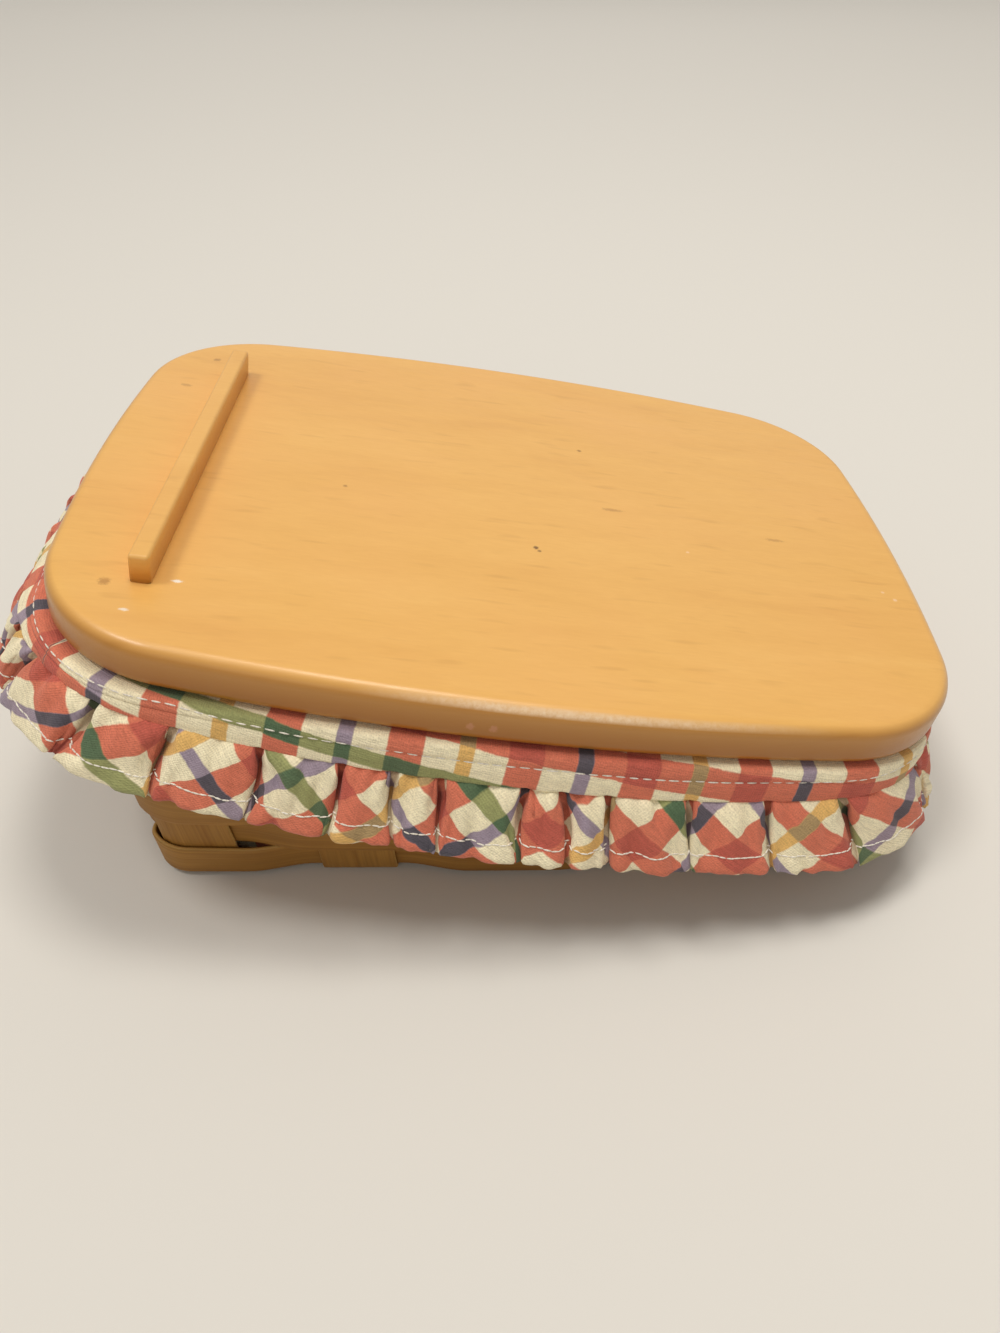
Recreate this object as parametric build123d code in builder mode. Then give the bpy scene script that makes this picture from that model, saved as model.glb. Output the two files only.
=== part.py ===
"""Lidded splint basket with a slanted rim, a hardwood lid and a gathered cloth liner.

Millimetres. +Z is up, the origin is the middle of the floor on the table, X runs along the basket and
the high end of the rim is at -X. Every layer of the wall is measured from one middle surface, in which
the upright stakes stand: weavers, rim bands and liner are all offsets of that surface.
"""

from math import atan2, cos, hypot, pi, radians, sin, sqrt
import os

from build123d import *

# Floor, measured at the middle surface of the wall
floor_length = 181.0
floor_width = 139.0
floor_corner_radius = 7.0
floor_bow = 0.4

# Lid board, as wide and long as the rim that leans out from the floor
lid_longer_by = 35.0
lid_wider_by = 25.8
lid_thickness = 11.0
lid_corner_radius = 35.4
lid_side_bow = 4.8
lid_end_bow = 2.1
lid_top_rounding = 4.5
lid_bottom_rounding = 3.0
plug_depth = 4.0
plug_clearance = 2.0
plug_rounding = 1.0

# Ledge glued across the lid
ledge_length = 110.0
ledge_thickness = 5.0
ledge_height = 7.0
ledge_rounding = 1.6
ledge_from_high_end = 25.0

# Slanted rim
rim_slope = 9.15
rim_height = 55.3
rim_shift = -3.0
rim_inset = 3.4
lid_shift = 1.5

# Splints
splint_thickness = 1.2
stake_width = 19.0
cross_stake_margin = 4.0
cross_stake_shift = -1.5
cross_stake_count = 5
long_stake_margin = 19.0
long_stake_count = 3
stake_fan = 0.06
bend_rounding = 1.0
layer_clearance = 0.15
weaver_height = 9.5
weaver_gap = 0.35
weaver_hold = 1.1
stake_steps = 6
gap_steps = 2
corner_steps = 7
band_clearance = 0.3
trim_below_rim = 0.5

# Rim bands and the tacks through them
rim_band_height = 12.5
outer_band_thickness = 2.2
inner_band_thickness = 2.0
tack_shank_width = 1.1
tack_head_radius = 1.9
tack_head_height = 0.5
tack_head_taper = 30.0
tack_head_sides = 8
tack_short_of_inside = 0.8
tack_fit = 0.05

# Cloth liner
cloth_thickness = 0.8
cloth_clearance = 0.3
cuff_drop = 7.0
cuff_flare = 1.3
seam_slope = 10.0
cuff_rounding = 0.7
ruffle_thickness = 1.1
ruffle_drop = 22.7
ruffle_flare = 4.8
hem_slope = 10.95
fold_pitch = 15.0
fold_depth = 3.9
seam_fold_depth = 1.0
seam_ease = 0.3
crest_share = 0.68
fold_unevenness = 0.22

lid_length = floor_length + lid_longer_by
lid_width = floor_width + lid_wider_by

slope = radians(rim_slope)
rim_plane = Plane(
    origin=(rim_shift, 0, rim_height),
    x_dir=(cos(slope), 0, -sin(slope)),
    z_dir=(sin(slope), 0, cos(slope)),
)
cap_top = cloth_clearance + cloth_thickness
lid_seat = cap_top + cloth_clearance
lid_plane = Plane(
    origin=rim_plane.from_local_coords((lid_shift, 0, lid_seat)),
    x_dir=rim_plane.x_dir,
    z_dir=rim_plane.z_dir,
)

# Layers, as offsets from the middle surface of the wall
half_splint = splint_thickness / 2
weaver_offset = splint_thickness + layer_clearance
outer_band_inside = weaver_offset + half_splint + band_clearance
outer_band_outside = outer_band_inside + outer_band_thickness
inner_band_outside = -outer_band_inside
inner_band_inside = inner_band_outside - inner_band_thickness
liner_outside = inner_band_inside - cloth_clearance
liner_inside = liner_outside - cloth_thickness
cuff_inside = outer_band_outside + cloth_clearance
cuff_outside = cuff_inside + cloth_thickness

# Floor levels of a splint that passes under or over the one it crosses
low_level = 0.0
high_level = splint_thickness + layer_clearance
floor_top = high_level + splint_thickness
first_weaver_height = splint_thickness + 2 * layer_clearance
liner_floor = floor_top + cloth_clearance



def slanted_plane(drop, slope_degrees):
    """Plane below the rim by a drop at its middle, sloping towards the low end by its own angle."""
    angle = radians(slope_degrees)
    return Plane(
        origin=rim_plane.from_local_coords((0, 0, -drop)),
        x_dir=(cos(angle), 0, -sin(angle)),
        z_dir=(sin(angle), 0, cos(angle)),
    )


# The seam and the hem slope more than the rim: the liner rides up at the high end
seam_plane = slanted_plane(cuff_drop, seam_slope)
hem_plane = slanted_plane(ruffle_drop, hem_slope)

# Far enough to pass right through the basket
reach = lid_length
rim_axis = Axis(origin=rim_plane.origin, direction=rim_plane.z_dir)


def bowed_outline(length, width, corner_radius, side_bow, end_bow):
    """Eight tangent arcs, anticlockwise from the +X end: (centre x, centre y, radius, from, to)."""
    half_length, half_width = length / 2, width / 2
    side_radius = ((half_length - corner_radius) ** 2 + side_bow**2) / (2 * side_bow)
    end_radius = ((half_width - corner_radius) ** 2 + end_bow**2) / (2 * end_bow)
    side_y = half_width - side_radius
    end_x = half_length - end_radius
    from_side, from_end = side_radius - corner_radius, end_radius - corner_radius
    span = hypot(end_x, side_y)
    along = (span**2 + from_side**2 - from_end**2) / (2 * span)
    across = sqrt(from_side**2 - along**2)
    ux, uy = end_x / span, -side_y / span
    corner_x = max(along * ux - across * uy, along * ux + across * uy)
    corner_y = side_y + sqrt(from_side**2 - corner_x**2)
    end_angle = atan2(corner_y, corner_x - end_x)
    side_angle = atan2(corner_y - side_y, corner_x)
    return [
        (end_x, 0, end_radius, -end_angle, end_angle),
        (corner_x, corner_y, corner_radius, end_angle, side_angle),
        (0, side_y, side_radius, side_angle, pi - side_angle),
        (-corner_x, corner_y, corner_radius, pi - side_angle, pi - end_angle),
        (-end_x, 0, end_radius, pi - end_angle, pi + end_angle),
        (-corner_x, -corner_y, corner_radius, pi + end_angle, pi + side_angle),
        (0, -side_y, side_radius, pi + side_angle, 2 * pi - side_angle),
        (corner_x, -corner_y, corner_radius, 2 * pi - side_angle, 2 * pi - end_angle),
    ]


def arc_point(arc, share, offset=0.0):
    """Point at a share of an arc, moved outward by the offset."""
    centre_x, centre_y, radius, start, stop = arc
    angle = start + (stop - start) * share
    return (
        centre_x + (radius + offset) * cos(angle),
        centre_y + (radius + offset) * sin(angle),
    )


def outline_face(outline, offset=0.0):
    """Flat face inside an outline that is moved outward by the offset."""
    with BuildSketch() as face:
        with BuildLine():
            for arc in outline:
                ThreePointArc(*(arc_point(arc, share, offset) for share in (0, 0.5, 1)))
        make_face()
    return face.sketch


def walk_outline(outline, offset, distance):
    """Point on an outline and its outward angle, a distance anticlockwise from the first arc's start."""
    for centre_x, centre_y, radius, start, stop in outline * 2:
        length = (radius + offset) * (stop - start)
        if distance <= length:
            angle = start + distance / (radius + offset)
            return (
                centre_x + (radius + offset) * cos(angle),
                centre_y + (radius + offset) * sin(angle),
                angle,
            )
        distance -= length


floor_outline = bowed_outline(
    floor_length, floor_width, floor_corner_radius, floor_bow, floor_bow
)
lid_outline = bowed_outline(
    lid_length, lid_width, lid_corner_radius, lid_side_bow, lid_end_bow
)
rim_outline = [
    (x, y, radius - rim_inset, start, stop) for x, y, radius, start, stop in lid_outline
]


# Turns at the middle of each side, from which X or Y runs one way for half a turn round
far_side, high_end, near_side, low_end = 0.5, 2.5, 4.5, 6.5


def rim_point(turn, offset=0.0):
    """Point of the slanted rim. A turn counts the outline's arcs, 8 to a full round."""
    flat = arc_point(rim_outline[int(turn) % 8], turn - int(turn), offset)
    return rim_plane.from_local_coords((*flat, 0))


def wall_point(turn, height, offset=0.0):
    """Point of the wall at a height, on the straight line from the floor outline to the rim."""
    low_x, low_y = arc_point(floor_outline[int(turn) % 8], turn - int(turn), offset)
    high = rim_point(turn, offset)
    rise = height / high.Z
    return (low_x + (high.X - low_x) * rise, low_y + (high.Y - low_y) * rise, height)


def find_turn(axis, value, height, start):
    """Turn in the four after start at which the wall's X (axis 0) or Y (axis 1) has a value."""
    stop = start + 4
    rising = wall_point(stop, height)[axis] > wall_point(start, height)[axis]
    for _ in range(40):
        middle = (start + stop) / 2
        if (wall_point(middle, height)[axis] < value) == rising:
            start = middle
        else:
            stop = middle
    return start


def wall_form(offset, bottom=0.0):
    """Solid block inside the middle surface moved by an offset, from a level up to the rim."""
    with BuildPart() as form:
        with BuildSketch(Plane.XY):
            add(outline_face(floor_outline, offset))
        with BuildSketch(rim_plane):
            add(outline_face(rim_outline, offset))
        loft(ruled=True)
        if bottom > 0:
            split(bisect_by=Plane.XY.offset(bottom), keep=Keep.TOP)
    return form.part


# Stakes, counted from the high end and from the near side, spread evenly over the floor
cross_middle = (cross_stake_count - 1) / 2
long_middle = (long_stake_count - 1) / 2
cross_span = floor_length - 2 * cross_stake_margin - stake_width
long_span = floor_width - 2 * long_stake_margin - stake_width
cross_stake_pitch = cross_span / (cross_stake_count - 1)
long_stake_pitch = long_span / (long_stake_count - 1)
cross_places = [
    cross_stake_shift + (i - cross_middle) * cross_stake_pitch for i in range(cross_stake_count)
]
long_places = [(j - long_middle) * long_stake_pitch for j in range(long_stake_count)]


def fanned(place, height):
    """Place of a stake's middle at a height, where stakes spread apart as they rise."""
    return place * (1 + stake_fan * height / rim_height)


def splint_cup(level):
    """A whole layer of splint: its floor at a level, its walls in the middle surface."""
    with BuildPart() as cup:
        add(wall_form(half_splint, level))
        add(wall_form(-half_splint, level + splint_thickness), mode=Mode.SUBTRACT)
        split(bisect_by=rim_plane.offset(-trim_below_rim), keep=Keep.BOTTOM)
    return cup.part


def strip_outline(middle):
    """Front view of a stake: upright across the floor, then spreading with the wall."""
    half = stake_width / 2
    top = fanned(middle, reach)
    return [
        (middle - half, 0),
        (middle + half, 0),
        (middle + half, floor_top),
        (top + half, reach),
        (top - half, reach),
        (middle - half, floor_top),
    ]


def woven_profile(places, levels):
    """Side view of the floor strip between its outermost crossings."""
    path = []
    for place, level in zip(places, levels):
        path += [(place - stake_width / 2, level), (place + stake_width / 2, level)]
    path = path[1:-1]
    return path + [(along, level + splint_thickness) for along, level in path[::-1]]


def floor_levels(is_over, count):
    """Levels of a strip at its crossings, over and under by turns."""
    return [high_level if (is_over + k) % 2 == 1 else low_level for k in range(count)]


def crossings(height):
    """Where weavers meet stakes, once round from the far side: (first, last, is cross, index).

    A weaver holds its side of a stake from the first to the last of these turns, which lie a
    little way outside the edges of the stake.
    """
    found = []
    hold = stake_width / 2 + weaver_hold
    for start in (far_side, high_end, near_side, low_end):
        is_cross = start in (far_side, near_side)
        places = list(enumerate(cross_places if is_cross else long_places))
        if start in (far_side, high_end):
            places.reverse()
        for index, place in places:
            middle = fanned(place, height)
            edges = sorted(
                find_turn(0 if is_cross else 1, middle + half, height, start)
                for half in (-hold, hold)
            )
            found.append((*edges, is_cross, index))
    return found


def weaver_side(row, is_cross, index):
    """1 where a row passes outside a stake and -1 where it passes inside."""
    return 1 if (index + row + (not is_cross)) % 2 == 0 else -1


def weaver_path(row, met, height, face):
    """Closed wave of a weaver row at a height, for one face, measured from the splint's middle."""
    points = []
    for here, following in zip(met, met[1:] + met[:1]):
        first, last, is_cross, index = here
        side = weaver_side(row, is_cross, index)
        for k in range(stake_steps):
            turn = first + (last - first) * k / stake_steps
            points.append(wall_point(turn, height, side * weaver_offset + face))
        onward = following[0] if following[0] > last else following[0] + 8
        steps = corner_steps if following[2] != is_cross else gap_steps
        turns = [last + (onward - last) * k / steps for k in range(steps + 1)]
        spots = [Vector(*wall_point(turn, height)) for turn in turns]
        walked = [0.0]
        for spot, after in zip(spots, spots[1:]):
            walked.append(walked[-1] + (after - spot).length)
        for turn, distance in list(zip(turns, walked))[:-1]:
            swing = side * weaver_offset * cos(pi * distance / walked[-1])
            points.append(wall_point(turn, height, swing + face))
    return points


def tack_plane(axis, place, start):
    """Plane of one tack: under its head, halfway down the rim bands at a stake, facing out."""
    height = rim_height
    for _ in range(8):
        turn = find_turn(axis, fanned(place, height), height, start)
        height = rim_point(turn).Z - rim_band_height / 2
    ahead, behind = (Vector(*wall_point(turn + step, height)) for step in (0.01, -0.01))
    above, below = (Vector(*wall_point(turn, height + step)) for step in (1, -1))
    seat = Vector(*wall_point(turn, height, outer_band_outside))
    return Plane(origin=seat, z_dir=(ahead - behind).cross(above - below))


tack_planes = [
    tack_plane(0, place, start) for place in cross_places for start in (far_side, near_side)
] + [tack_plane(1, place, start) for place in long_places for start in (high_end, low_end)]
tack_shank_length = outer_band_outside - inner_band_inside - tack_short_of_inside

with BuildPart() as tack_holes:
    for plane in tack_planes:
        with BuildSketch(plane.offset(-tack_shank_length)):
            Rectangle(tack_shank_width + 2 * tack_fit, tack_shank_width + 2 * tack_fit)
        extrude(amount=tack_shank_length + tack_head_height)

# Stakes: each is one splint that runs down one wall, across the floor and up the other
splint_cups = {level: splint_cup(level) for level in (low_level, high_level)}
stakes = []
for i, place in enumerate(cross_places):
    levels = floor_levels(i % 2 == 0, long_stake_count)
    with BuildPart() as cross_stake:
        add(splint_cups[levels[0]])
        with BuildSketch(Plane.XZ):
            with BuildLine():
                Polyline(*strip_outline(place), close=True)
            make_face()
        extrude(amount=reach, both=True, mode=Mode.INTERSECT)
        bend = cross_stake.edges().filter_by_position(Axis.Z, levels[0] - 0.01, levels[0] + 0.01)
        ends = bend.filter_by(lambda e: abs(e.center().Y) > long_places[-1] + stake_width / 2)
        fillet(ends, bend_rounding)
        with BuildSketch(Plane.XY):
            Rectangle(reach, long_places[-1] - long_places[0] - stake_width)
        extrude(amount=floor_top, mode=Mode.SUBTRACT)
        with BuildSketch(Plane.YZ.offset(place - stake_width / 2)):
            with BuildLine():
                Polyline(*woven_profile(long_places, levels), close=True)
            make_face()
        extrude(amount=stake_width)
        add(tack_holes.part, mode=Mode.SUBTRACT)
    stakes.append((f"cross_stake_{i + 1}", cross_stake.part))

for j, place in enumerate(long_places):
    levels = floor_levels(j % 2 == 1, cross_stake_count)
    with BuildPart() as long_stake:
        add(splint_cups[levels[0]])
        with BuildSketch(Plane.YZ):
            with BuildLine():
                Polyline(*strip_outline(place), close=True)
            make_face()
        extrude(amount=reach, both=True, mode=Mode.INTERSECT)
        bend = long_stake.edges().filter_by_position(Axis.Z, levels[0] - 0.01, levels[0] + 0.01)
        ends = bend.filter_by(lambda e: abs(e.center().X) > cross_places[-1] + stake_width / 2)
        fillet(ends, bend_rounding)
        span = cross_places[-1] - cross_places[0] - stake_width
        with BuildSketch(Plane.XY):
            with Locations(((cross_places[0] + cross_places[-1]) / 2, 0)):
                Rectangle(span, reach)
        extrude(amount=floor_top, mode=Mode.SUBTRACT)
        with BuildSketch(Plane.XZ.offset(-place - stake_width / 2)):
            with BuildLine():
                Polyline(*woven_profile(cross_places, levels), close=True)
            make_face()
        extrude(amount=stake_width)
        add(tack_holes.part, mode=Mode.SUBTRACT)
    stakes.append((f"long_stake_{j + 1}", long_stake.part))

# Weavers: level rows, woven in and out of the stakes and trimmed to the slant at the rim
rows = []
row = 0
bottom = first_weaver_height
while bottom + weaver_height / 2 < rim_point(high_end + 2).Z - trim_below_rim:
    met = crossings(bottom + weaver_height / 2)
    with BuildPart() as weaver:
        for face, mode in ((half_splint, Mode.ADD), (-half_splint, Mode.SUBTRACT)):
            for height in (bottom, bottom + weaver_height):
                with BuildSketch(Plane.XY.offset(height)):
                    with BuildLine():
                        path = weaver_path(row, met, height, face)
                        Spline(*[point[:2] for point in path], periodic=True)
                    make_face()
            loft(ruled=True, mode=mode)
        split(bisect_by=rim_plane.offset(-trim_below_rim), keep=Keep.BOTTOM)
        add(tack_holes.part, mode=Mode.SUBTRACT)
    rows.append((f"weaver_{row + 1}", weaver.part))
    row += 1
    bottom += weaver_height + weaver_gap

# Rim bands: hardwood strips that clamp the top of the wall from outside and inside
with BuildPart() as rim_outer_band:
    add(wall_form(outer_band_outside))
    split(bisect_by=rim_plane.offset(-rim_band_height), keep=Keep.TOP)
    add(wall_form(outer_band_inside), mode=Mode.SUBTRACT)
    add(tack_holes.part, mode=Mode.SUBTRACT)

with BuildPart() as rim_inner_band:
    add(wall_form(inner_band_outside))
    add(wall_form(inner_band_inside), mode=Mode.SUBTRACT)
    split(bisect_by=rim_plane.offset(-rim_band_height), keep=Keep.TOP)
    add(tack_holes.part, mode=Mode.SUBTRACT)

with BuildPart() as rim_tacks:
    for plane in tack_planes:
        with BuildSketch(plane.offset(tack_fit)):
            RegularPolygon(tack_head_radius, tack_head_sides)
        extrude(amount=tack_head_height, taper=tack_head_taper)
        with BuildSketch(plane.offset(-tack_shank_length)):
            Rectangle(tack_shank_width, tack_shank_width)
        extrude(amount=tack_shank_length + tack_fit)

# Liner: a cloth bag, a cuff folded over the rim and a gathered ruffle sewn to the cuff
with BuildPart() as liner_bag:
    add(wall_form(liner_outside, liner_floor))
    add(wall_form(liner_inside, liner_floor + cloth_thickness), mode=Mode.SUBTRACT)

with BuildPart() as liner_cuff:
    with BuildSketch(rim_plane.offset(cap_top)):
        add(outline_face(rim_outline, cuff_outside))
    with BuildSketch(seam_plane):
        add(outline_face(rim_outline, cuff_outside + cuff_flare))
    loft(ruled=True)
    fillet(liner_cuff.faces().sort_by(rim_axis)[-1].edges(), cuff_rounding)
    with BuildSketch(rim_plane.offset(cloth_clearance)):
        add(outline_face(rim_outline, cuff_inside))
    with BuildSketch(seam_plane):
        add(outline_face(rim_outline, cuff_inside + cuff_flare))
    loft(ruled=True, mode=Mode.SUBTRACT)
    with BuildSketch(rim_plane):
        add(outline_face(rim_outline, liner_outside))
    extrude(amount=cloth_clearance)
    with BuildSketch(rim_plane):
        add(outline_face(rim_outline, liner_inside))
    extrude(amount=cap_top, mode=Mode.SUBTRACT)

seam_offset = cuff_outside + cuff_flare + seam_ease
hem_offset = seam_offset + ruffle_flare
hem_girth = sum((arc[2] + hem_offset) * (arc[4] - arc[3]) for arc in rim_outline)
fold_count = round(hem_girth / fold_pitch)
fold_widths = [1 + fold_unevenness * (sin(2.4 * k) + sin(5.3 * k)) for k in range(fold_count)]


def gathered_face(offset, depth):
    """Flat face inside the rim outline moved outward, with uneven gathers all round."""
    girth = sum((arc[2] + offset) * (arc[4] - arc[3]) for arc in rim_outline)
    unit = girth / sum(fold_widths)
    places = [0.0]
    swells = []
    for width in fold_widths:
        places.append(places[-1] + width * crest_share * unit)
        places.append(places[-1] + width * (1 - crest_share) * unit)
        swells += [depth * crest_share, -depth * (1 - crest_share)]
    places[-1] = 0.0
    with BuildSketch() as face:
        with BuildLine():
            for begin, end, swell in zip(places, places[1:], swells):
                x, y, angle = walk_outline(rim_outline, offset, (begin + (end or girth)) / 2)
                ThreePointArc(
                    walk_outline(rim_outline, offset, begin)[:2],
                    (x + swell * cos(angle), y + swell * sin(angle)),
                    walk_outline(rim_outline, offset, end)[:2],
                )
        make_face()
    return face.sketch


with BuildPart() as liner_ruffle:
    for face, mode in ((0, Mode.ADD), (-ruffle_thickness, Mode.SUBTRACT)):
        with BuildSketch(seam_plane):
            add(gathered_face(seam_offset + face, seam_fold_depth))
        with BuildSketch(hem_plane):
            add(gathered_face(hem_offset + face, fold_depth))
        loft(ruled=True, mode=mode)

# Lid: a board with a step that drops inside the liner, and a ledge glued across it
plug_inset = rim_inset + lid_shift - liner_inside + plug_clearance
with BuildPart() as lid_board:
    with BuildSketch(lid_plane):
        add(outline_face(lid_outline))
    extrude(amount=lid_thickness)
    fillet(lid_board.faces().sort_by(rim_axis)[-1].edges(), lid_top_rounding)
    fillet(lid_board.faces().sort_by(rim_axis)[0].edges(), lid_bottom_rounding)
    with BuildSketch(lid_plane):
        add(outline_face(lid_outline, -plug_inset))
    extrude(amount=-plug_depth)
    fillet(lid_board.faces().sort_by(rim_axis)[0].edges(), plug_rounding)

with BuildPart() as lid_ledge:
    with BuildSketch(lid_plane.offset(lid_thickness)):
        with Locations((ledge_from_high_end - lid_length / 2, 0)):
            Rectangle(ledge_thickness, ledge_length)
    extrude(amount=ledge_height)
    fillet(lid_ledge.faces().sort_by(rim_axis)[-1].edges(), ledge_rounding)

os.makedirs("parts", exist_ok=True)
pieces = stakes + rows + [
    ("rim_outer_band", rim_outer_band.part),
    ("rim_inner_band", rim_inner_band.part),
    ("rim_tacks", rim_tacks.part),
    ("liner_bag", liner_bag.part),
    ("liner_cuff", liner_cuff.part),
    ("liner_ruffle", liner_ruffle.part),
    ("lid_board", lid_board.part),
    ("lid_ledge", lid_ledge.part),
]
for name, piece in pieces:
    piece.label = name
    export_step(piece, f"parts/{name}.step")
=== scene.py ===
"""Lidded splint basket with a gathered plaid liner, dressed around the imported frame.

Shapes are worked out in millimetres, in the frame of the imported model, and stored in metres. The wall
is one leaning surface between the floor outline and the slanted rim outline: stakes stand in it,
weavers swing from one side of it to the other, and the rim bands and the liner are offsets of it.
"""

from math import atan2, cos, hypot, pi, radians, sin, sqrt

import bmesh
import bpy
import numpy as np
from mathutils import Matrix, Vector


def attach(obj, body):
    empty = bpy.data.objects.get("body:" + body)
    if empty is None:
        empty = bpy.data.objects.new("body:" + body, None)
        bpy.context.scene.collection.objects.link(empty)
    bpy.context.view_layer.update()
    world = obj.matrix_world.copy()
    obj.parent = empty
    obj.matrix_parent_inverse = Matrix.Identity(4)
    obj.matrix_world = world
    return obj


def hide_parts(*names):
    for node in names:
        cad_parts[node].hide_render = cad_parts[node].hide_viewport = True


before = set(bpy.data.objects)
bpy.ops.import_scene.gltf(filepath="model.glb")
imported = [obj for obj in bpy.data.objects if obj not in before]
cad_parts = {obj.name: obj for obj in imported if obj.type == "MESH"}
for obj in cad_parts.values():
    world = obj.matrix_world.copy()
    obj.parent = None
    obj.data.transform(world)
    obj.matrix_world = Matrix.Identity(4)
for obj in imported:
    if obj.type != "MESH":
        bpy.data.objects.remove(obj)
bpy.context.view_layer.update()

MM = 0.001

# Floor, lid and rim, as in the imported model, but with a crisper lid edge and a slimmer strip
FLOOR = dict(length=181.0, width=139.0, corner=7.0, side_bow=0.4, end_bow=0.4)
LID = dict(length=216.0, width=164.8, corner=35.4, side_bow=4.8, end_bow=2.1)
LID_THICKNESS = 11.0
LID_TOP_ROUNDING = 3.2
LID_BOTTOM_ROUNDING = 3.0
PLUG_DEPTH = 4.0
PLUG_INSET = 12.2
PLUG_ROUNDING = 1.0
LEDGE = dict(length=108.0, thickness=4.6, height=7.0, rounding=0.9)
LEDGE_FROM_HIGH_END = 24.7
LEDGE_ACROSS = -1.7
LEDGE_SKEW = 1.7
RIM_SLOPE = radians(9.15)
RIM_HEIGHT = 55.3
RIM_ORIGIN = (-3.0, 0.0, RIM_HEIGHT)
RIM_INSET = 3.4
LID_SHIFT = 1.5
LID_SEAT = 1.4

# Splints and how they are woven
SPLINT = 1.2
LAYER = 1.35
STAKE_HALF = 9.5
CROSS_PLACES = [-1.5 + (i - 2) * 38.5 for i in range(5)]
LONG_PLACES = [(j - 1) * 41.0 for j in range(3)]
STAKE_FAN = 0.06
STAKE_BEND = 2.0
TRIM = 0.5
WEAVER_HEIGHT = 9.5
WEAVER_GAP = 0.35
FIRST_WEAVER = 1.5
WEAVER_HOLD = 1.1
GRAIN_LEAD = 137.0

# Where on the outline, as a turn, the search for the stakes of each side begins
FAR_SIDE, HIGH_END, NEAR_SIDE, LOW_END = 0.5, 2.5, 4.5, 6.5

# Steps along a weaver over a stake, on to the next stake, and on round a corner
HELD_STEPS, SWING_STEPS, CORNER_STEPS = 7, 10, 20

# Steps down a stake's wall, and across the floor
WALL_STEPS, FLOOR_STEPS = 18, 40

# Liner. Offsets count outward from the wall's middle surface
BAG_OFFSET = -4.95
BAG_FLOOR = 3.3
BAG_SIDE_SHIFT = 31.0
CLOTH = 0.8
CUFF_TOP = 4.9
CUFF_RISE = 1.1
CUFF_ROUND = 0.9
TOPSTITCH_DROP = 2.1
TOPSTITCH_UP = 5.6
CUFF_SKEW = 0.07
CUFF_JOINS = (112.0, 437.0)
CUFF_PIECE = (25.6, -8.0)
RUFFLE_CUT = 20.0
RUFFLE_FULLNESS = 1.69
HEM_STITCH = 4.8
GATHER_REACH = 1.6
CORNER_REACH = 38.0

# Where the seam and the hem run: (offset, drop below the rim, more drop towards the low end,
# offset and drop given up round each corner, more offset where the liner stands off the high end)
SEAM = dict(offset=6.4, drop=7.8, slope=1.5, corner_offset=-0.5, corner_drop=-3.0, high_offset=3.4)
HEM = dict(offset=14.4, drop=23.4, slope=2.3, corner_offset=-0.3, corner_drop=-3.0, high_offset=2.4)


# Outlines and the wall


def bowed_outline(length, width, corner, side_bow, end_bow, inset=0.0):
    """Eight tangent arcs, anticlockwise from the +X end: (centre x, centre y, radius, from, to)."""
    half_length, half_width = length / 2, width / 2
    side_radius = ((half_length - corner) ** 2 + side_bow**2) / (2 * side_bow)
    end_radius = ((half_width - corner) ** 2 + end_bow**2) / (2 * end_bow)
    side_y = half_width - side_radius
    end_x = half_length - end_radius
    from_side, from_end = side_radius - corner, end_radius - corner
    span = hypot(end_x, side_y)
    along = (span**2 + from_side**2 - from_end**2) / (2 * span)
    across = sqrt(from_side**2 - along**2)
    ux, uy = end_x / span, -side_y / span
    corner_x = max(along * ux - across * uy, along * ux + across * uy)
    corner_y = side_y + sqrt(from_side**2 - corner_x**2)
    end_angle = atan2(corner_y, corner_x - end_x)
    side_angle = atan2(corner_y - side_y, corner_x)
    arcs = [
        (end_x, 0, end_radius, -end_angle, end_angle),
        (corner_x, corner_y, corner, end_angle, side_angle),
        (0, side_y, side_radius, side_angle, pi - side_angle),
        (-corner_x, corner_y, corner, pi - side_angle, pi - end_angle),
        (-end_x, 0, end_radius, pi - end_angle, pi + end_angle),
        (-corner_x, -corner_y, corner, pi + end_angle, pi + side_angle),
        (0, -side_y, side_radius, pi + side_angle, 2 * pi - side_angle),
        (corner_x, -corner_y, corner, 2 * pi - side_angle, 2 * pi - end_angle),
    ]
    return [(x, y, radius - inset, start, stop) for x, y, radius, start, stop in arcs]


def arc_lengths(outline):
    return np.array([radius * (stop - start) for _, _, radius, start, stop in outline])


def girth(outline):
    return float(sum(arc_lengths(outline)))


floor_outline = bowed_outline(**FLOOR)
lid_outline = bowed_outline(**LID)
rim_outline = bowed_outline(**LID, inset=RIM_INSET)
rim_girth = girth(rim_outline)

rim_x = np.array((cos(RIM_SLOPE), 0, -sin(RIM_SLOPE)))
rim_y = np.array((0.0, 1.0, 0.0))
rim_up = np.array((sin(RIM_SLOPE), 0, cos(RIM_SLOPE)))
rim_origin = np.array(RIM_ORIGIN)
lid_origin = rim_origin + LID_SHIFT * rim_x + LID_SEAT * rim_up


def slanted(origin, flat, height):
    """Points from places in the rim's slant, round an origin, and heights square to it."""
    height = np.asarray(height)[..., None]
    return origin + flat[..., :1] * rim_x + flat[..., 1:2] * rim_y + height * rim_up


def lid_place(along, across, up=LID_THICKNESS):
    """Point on the lid from its own length, width and height."""
    return slanted(lid_origin, np.array((along, across)), up)


def walk(outline, distances, offset=0.0):
    """X, Y and outward normal at distances along an outline, then moved outward by the offset."""
    starts = np.concatenate([[0.0], np.cumsum(arc_lengths(outline))])
    distances = np.mod(distances, starts[-1])
    index = np.clip(np.searchsorted(starts, distances, side="right") - 1, 0, 7)
    arcs = np.array(outline)[index]
    angle = arcs[..., 3] + (distances - starts[index]) / arcs[..., 2]
    normal = np.stack([np.cos(angle), np.sin(angle)], axis=-1)
    return arcs[..., :2] + normal * (arcs[..., 2] + offset)[..., None], normal


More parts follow.
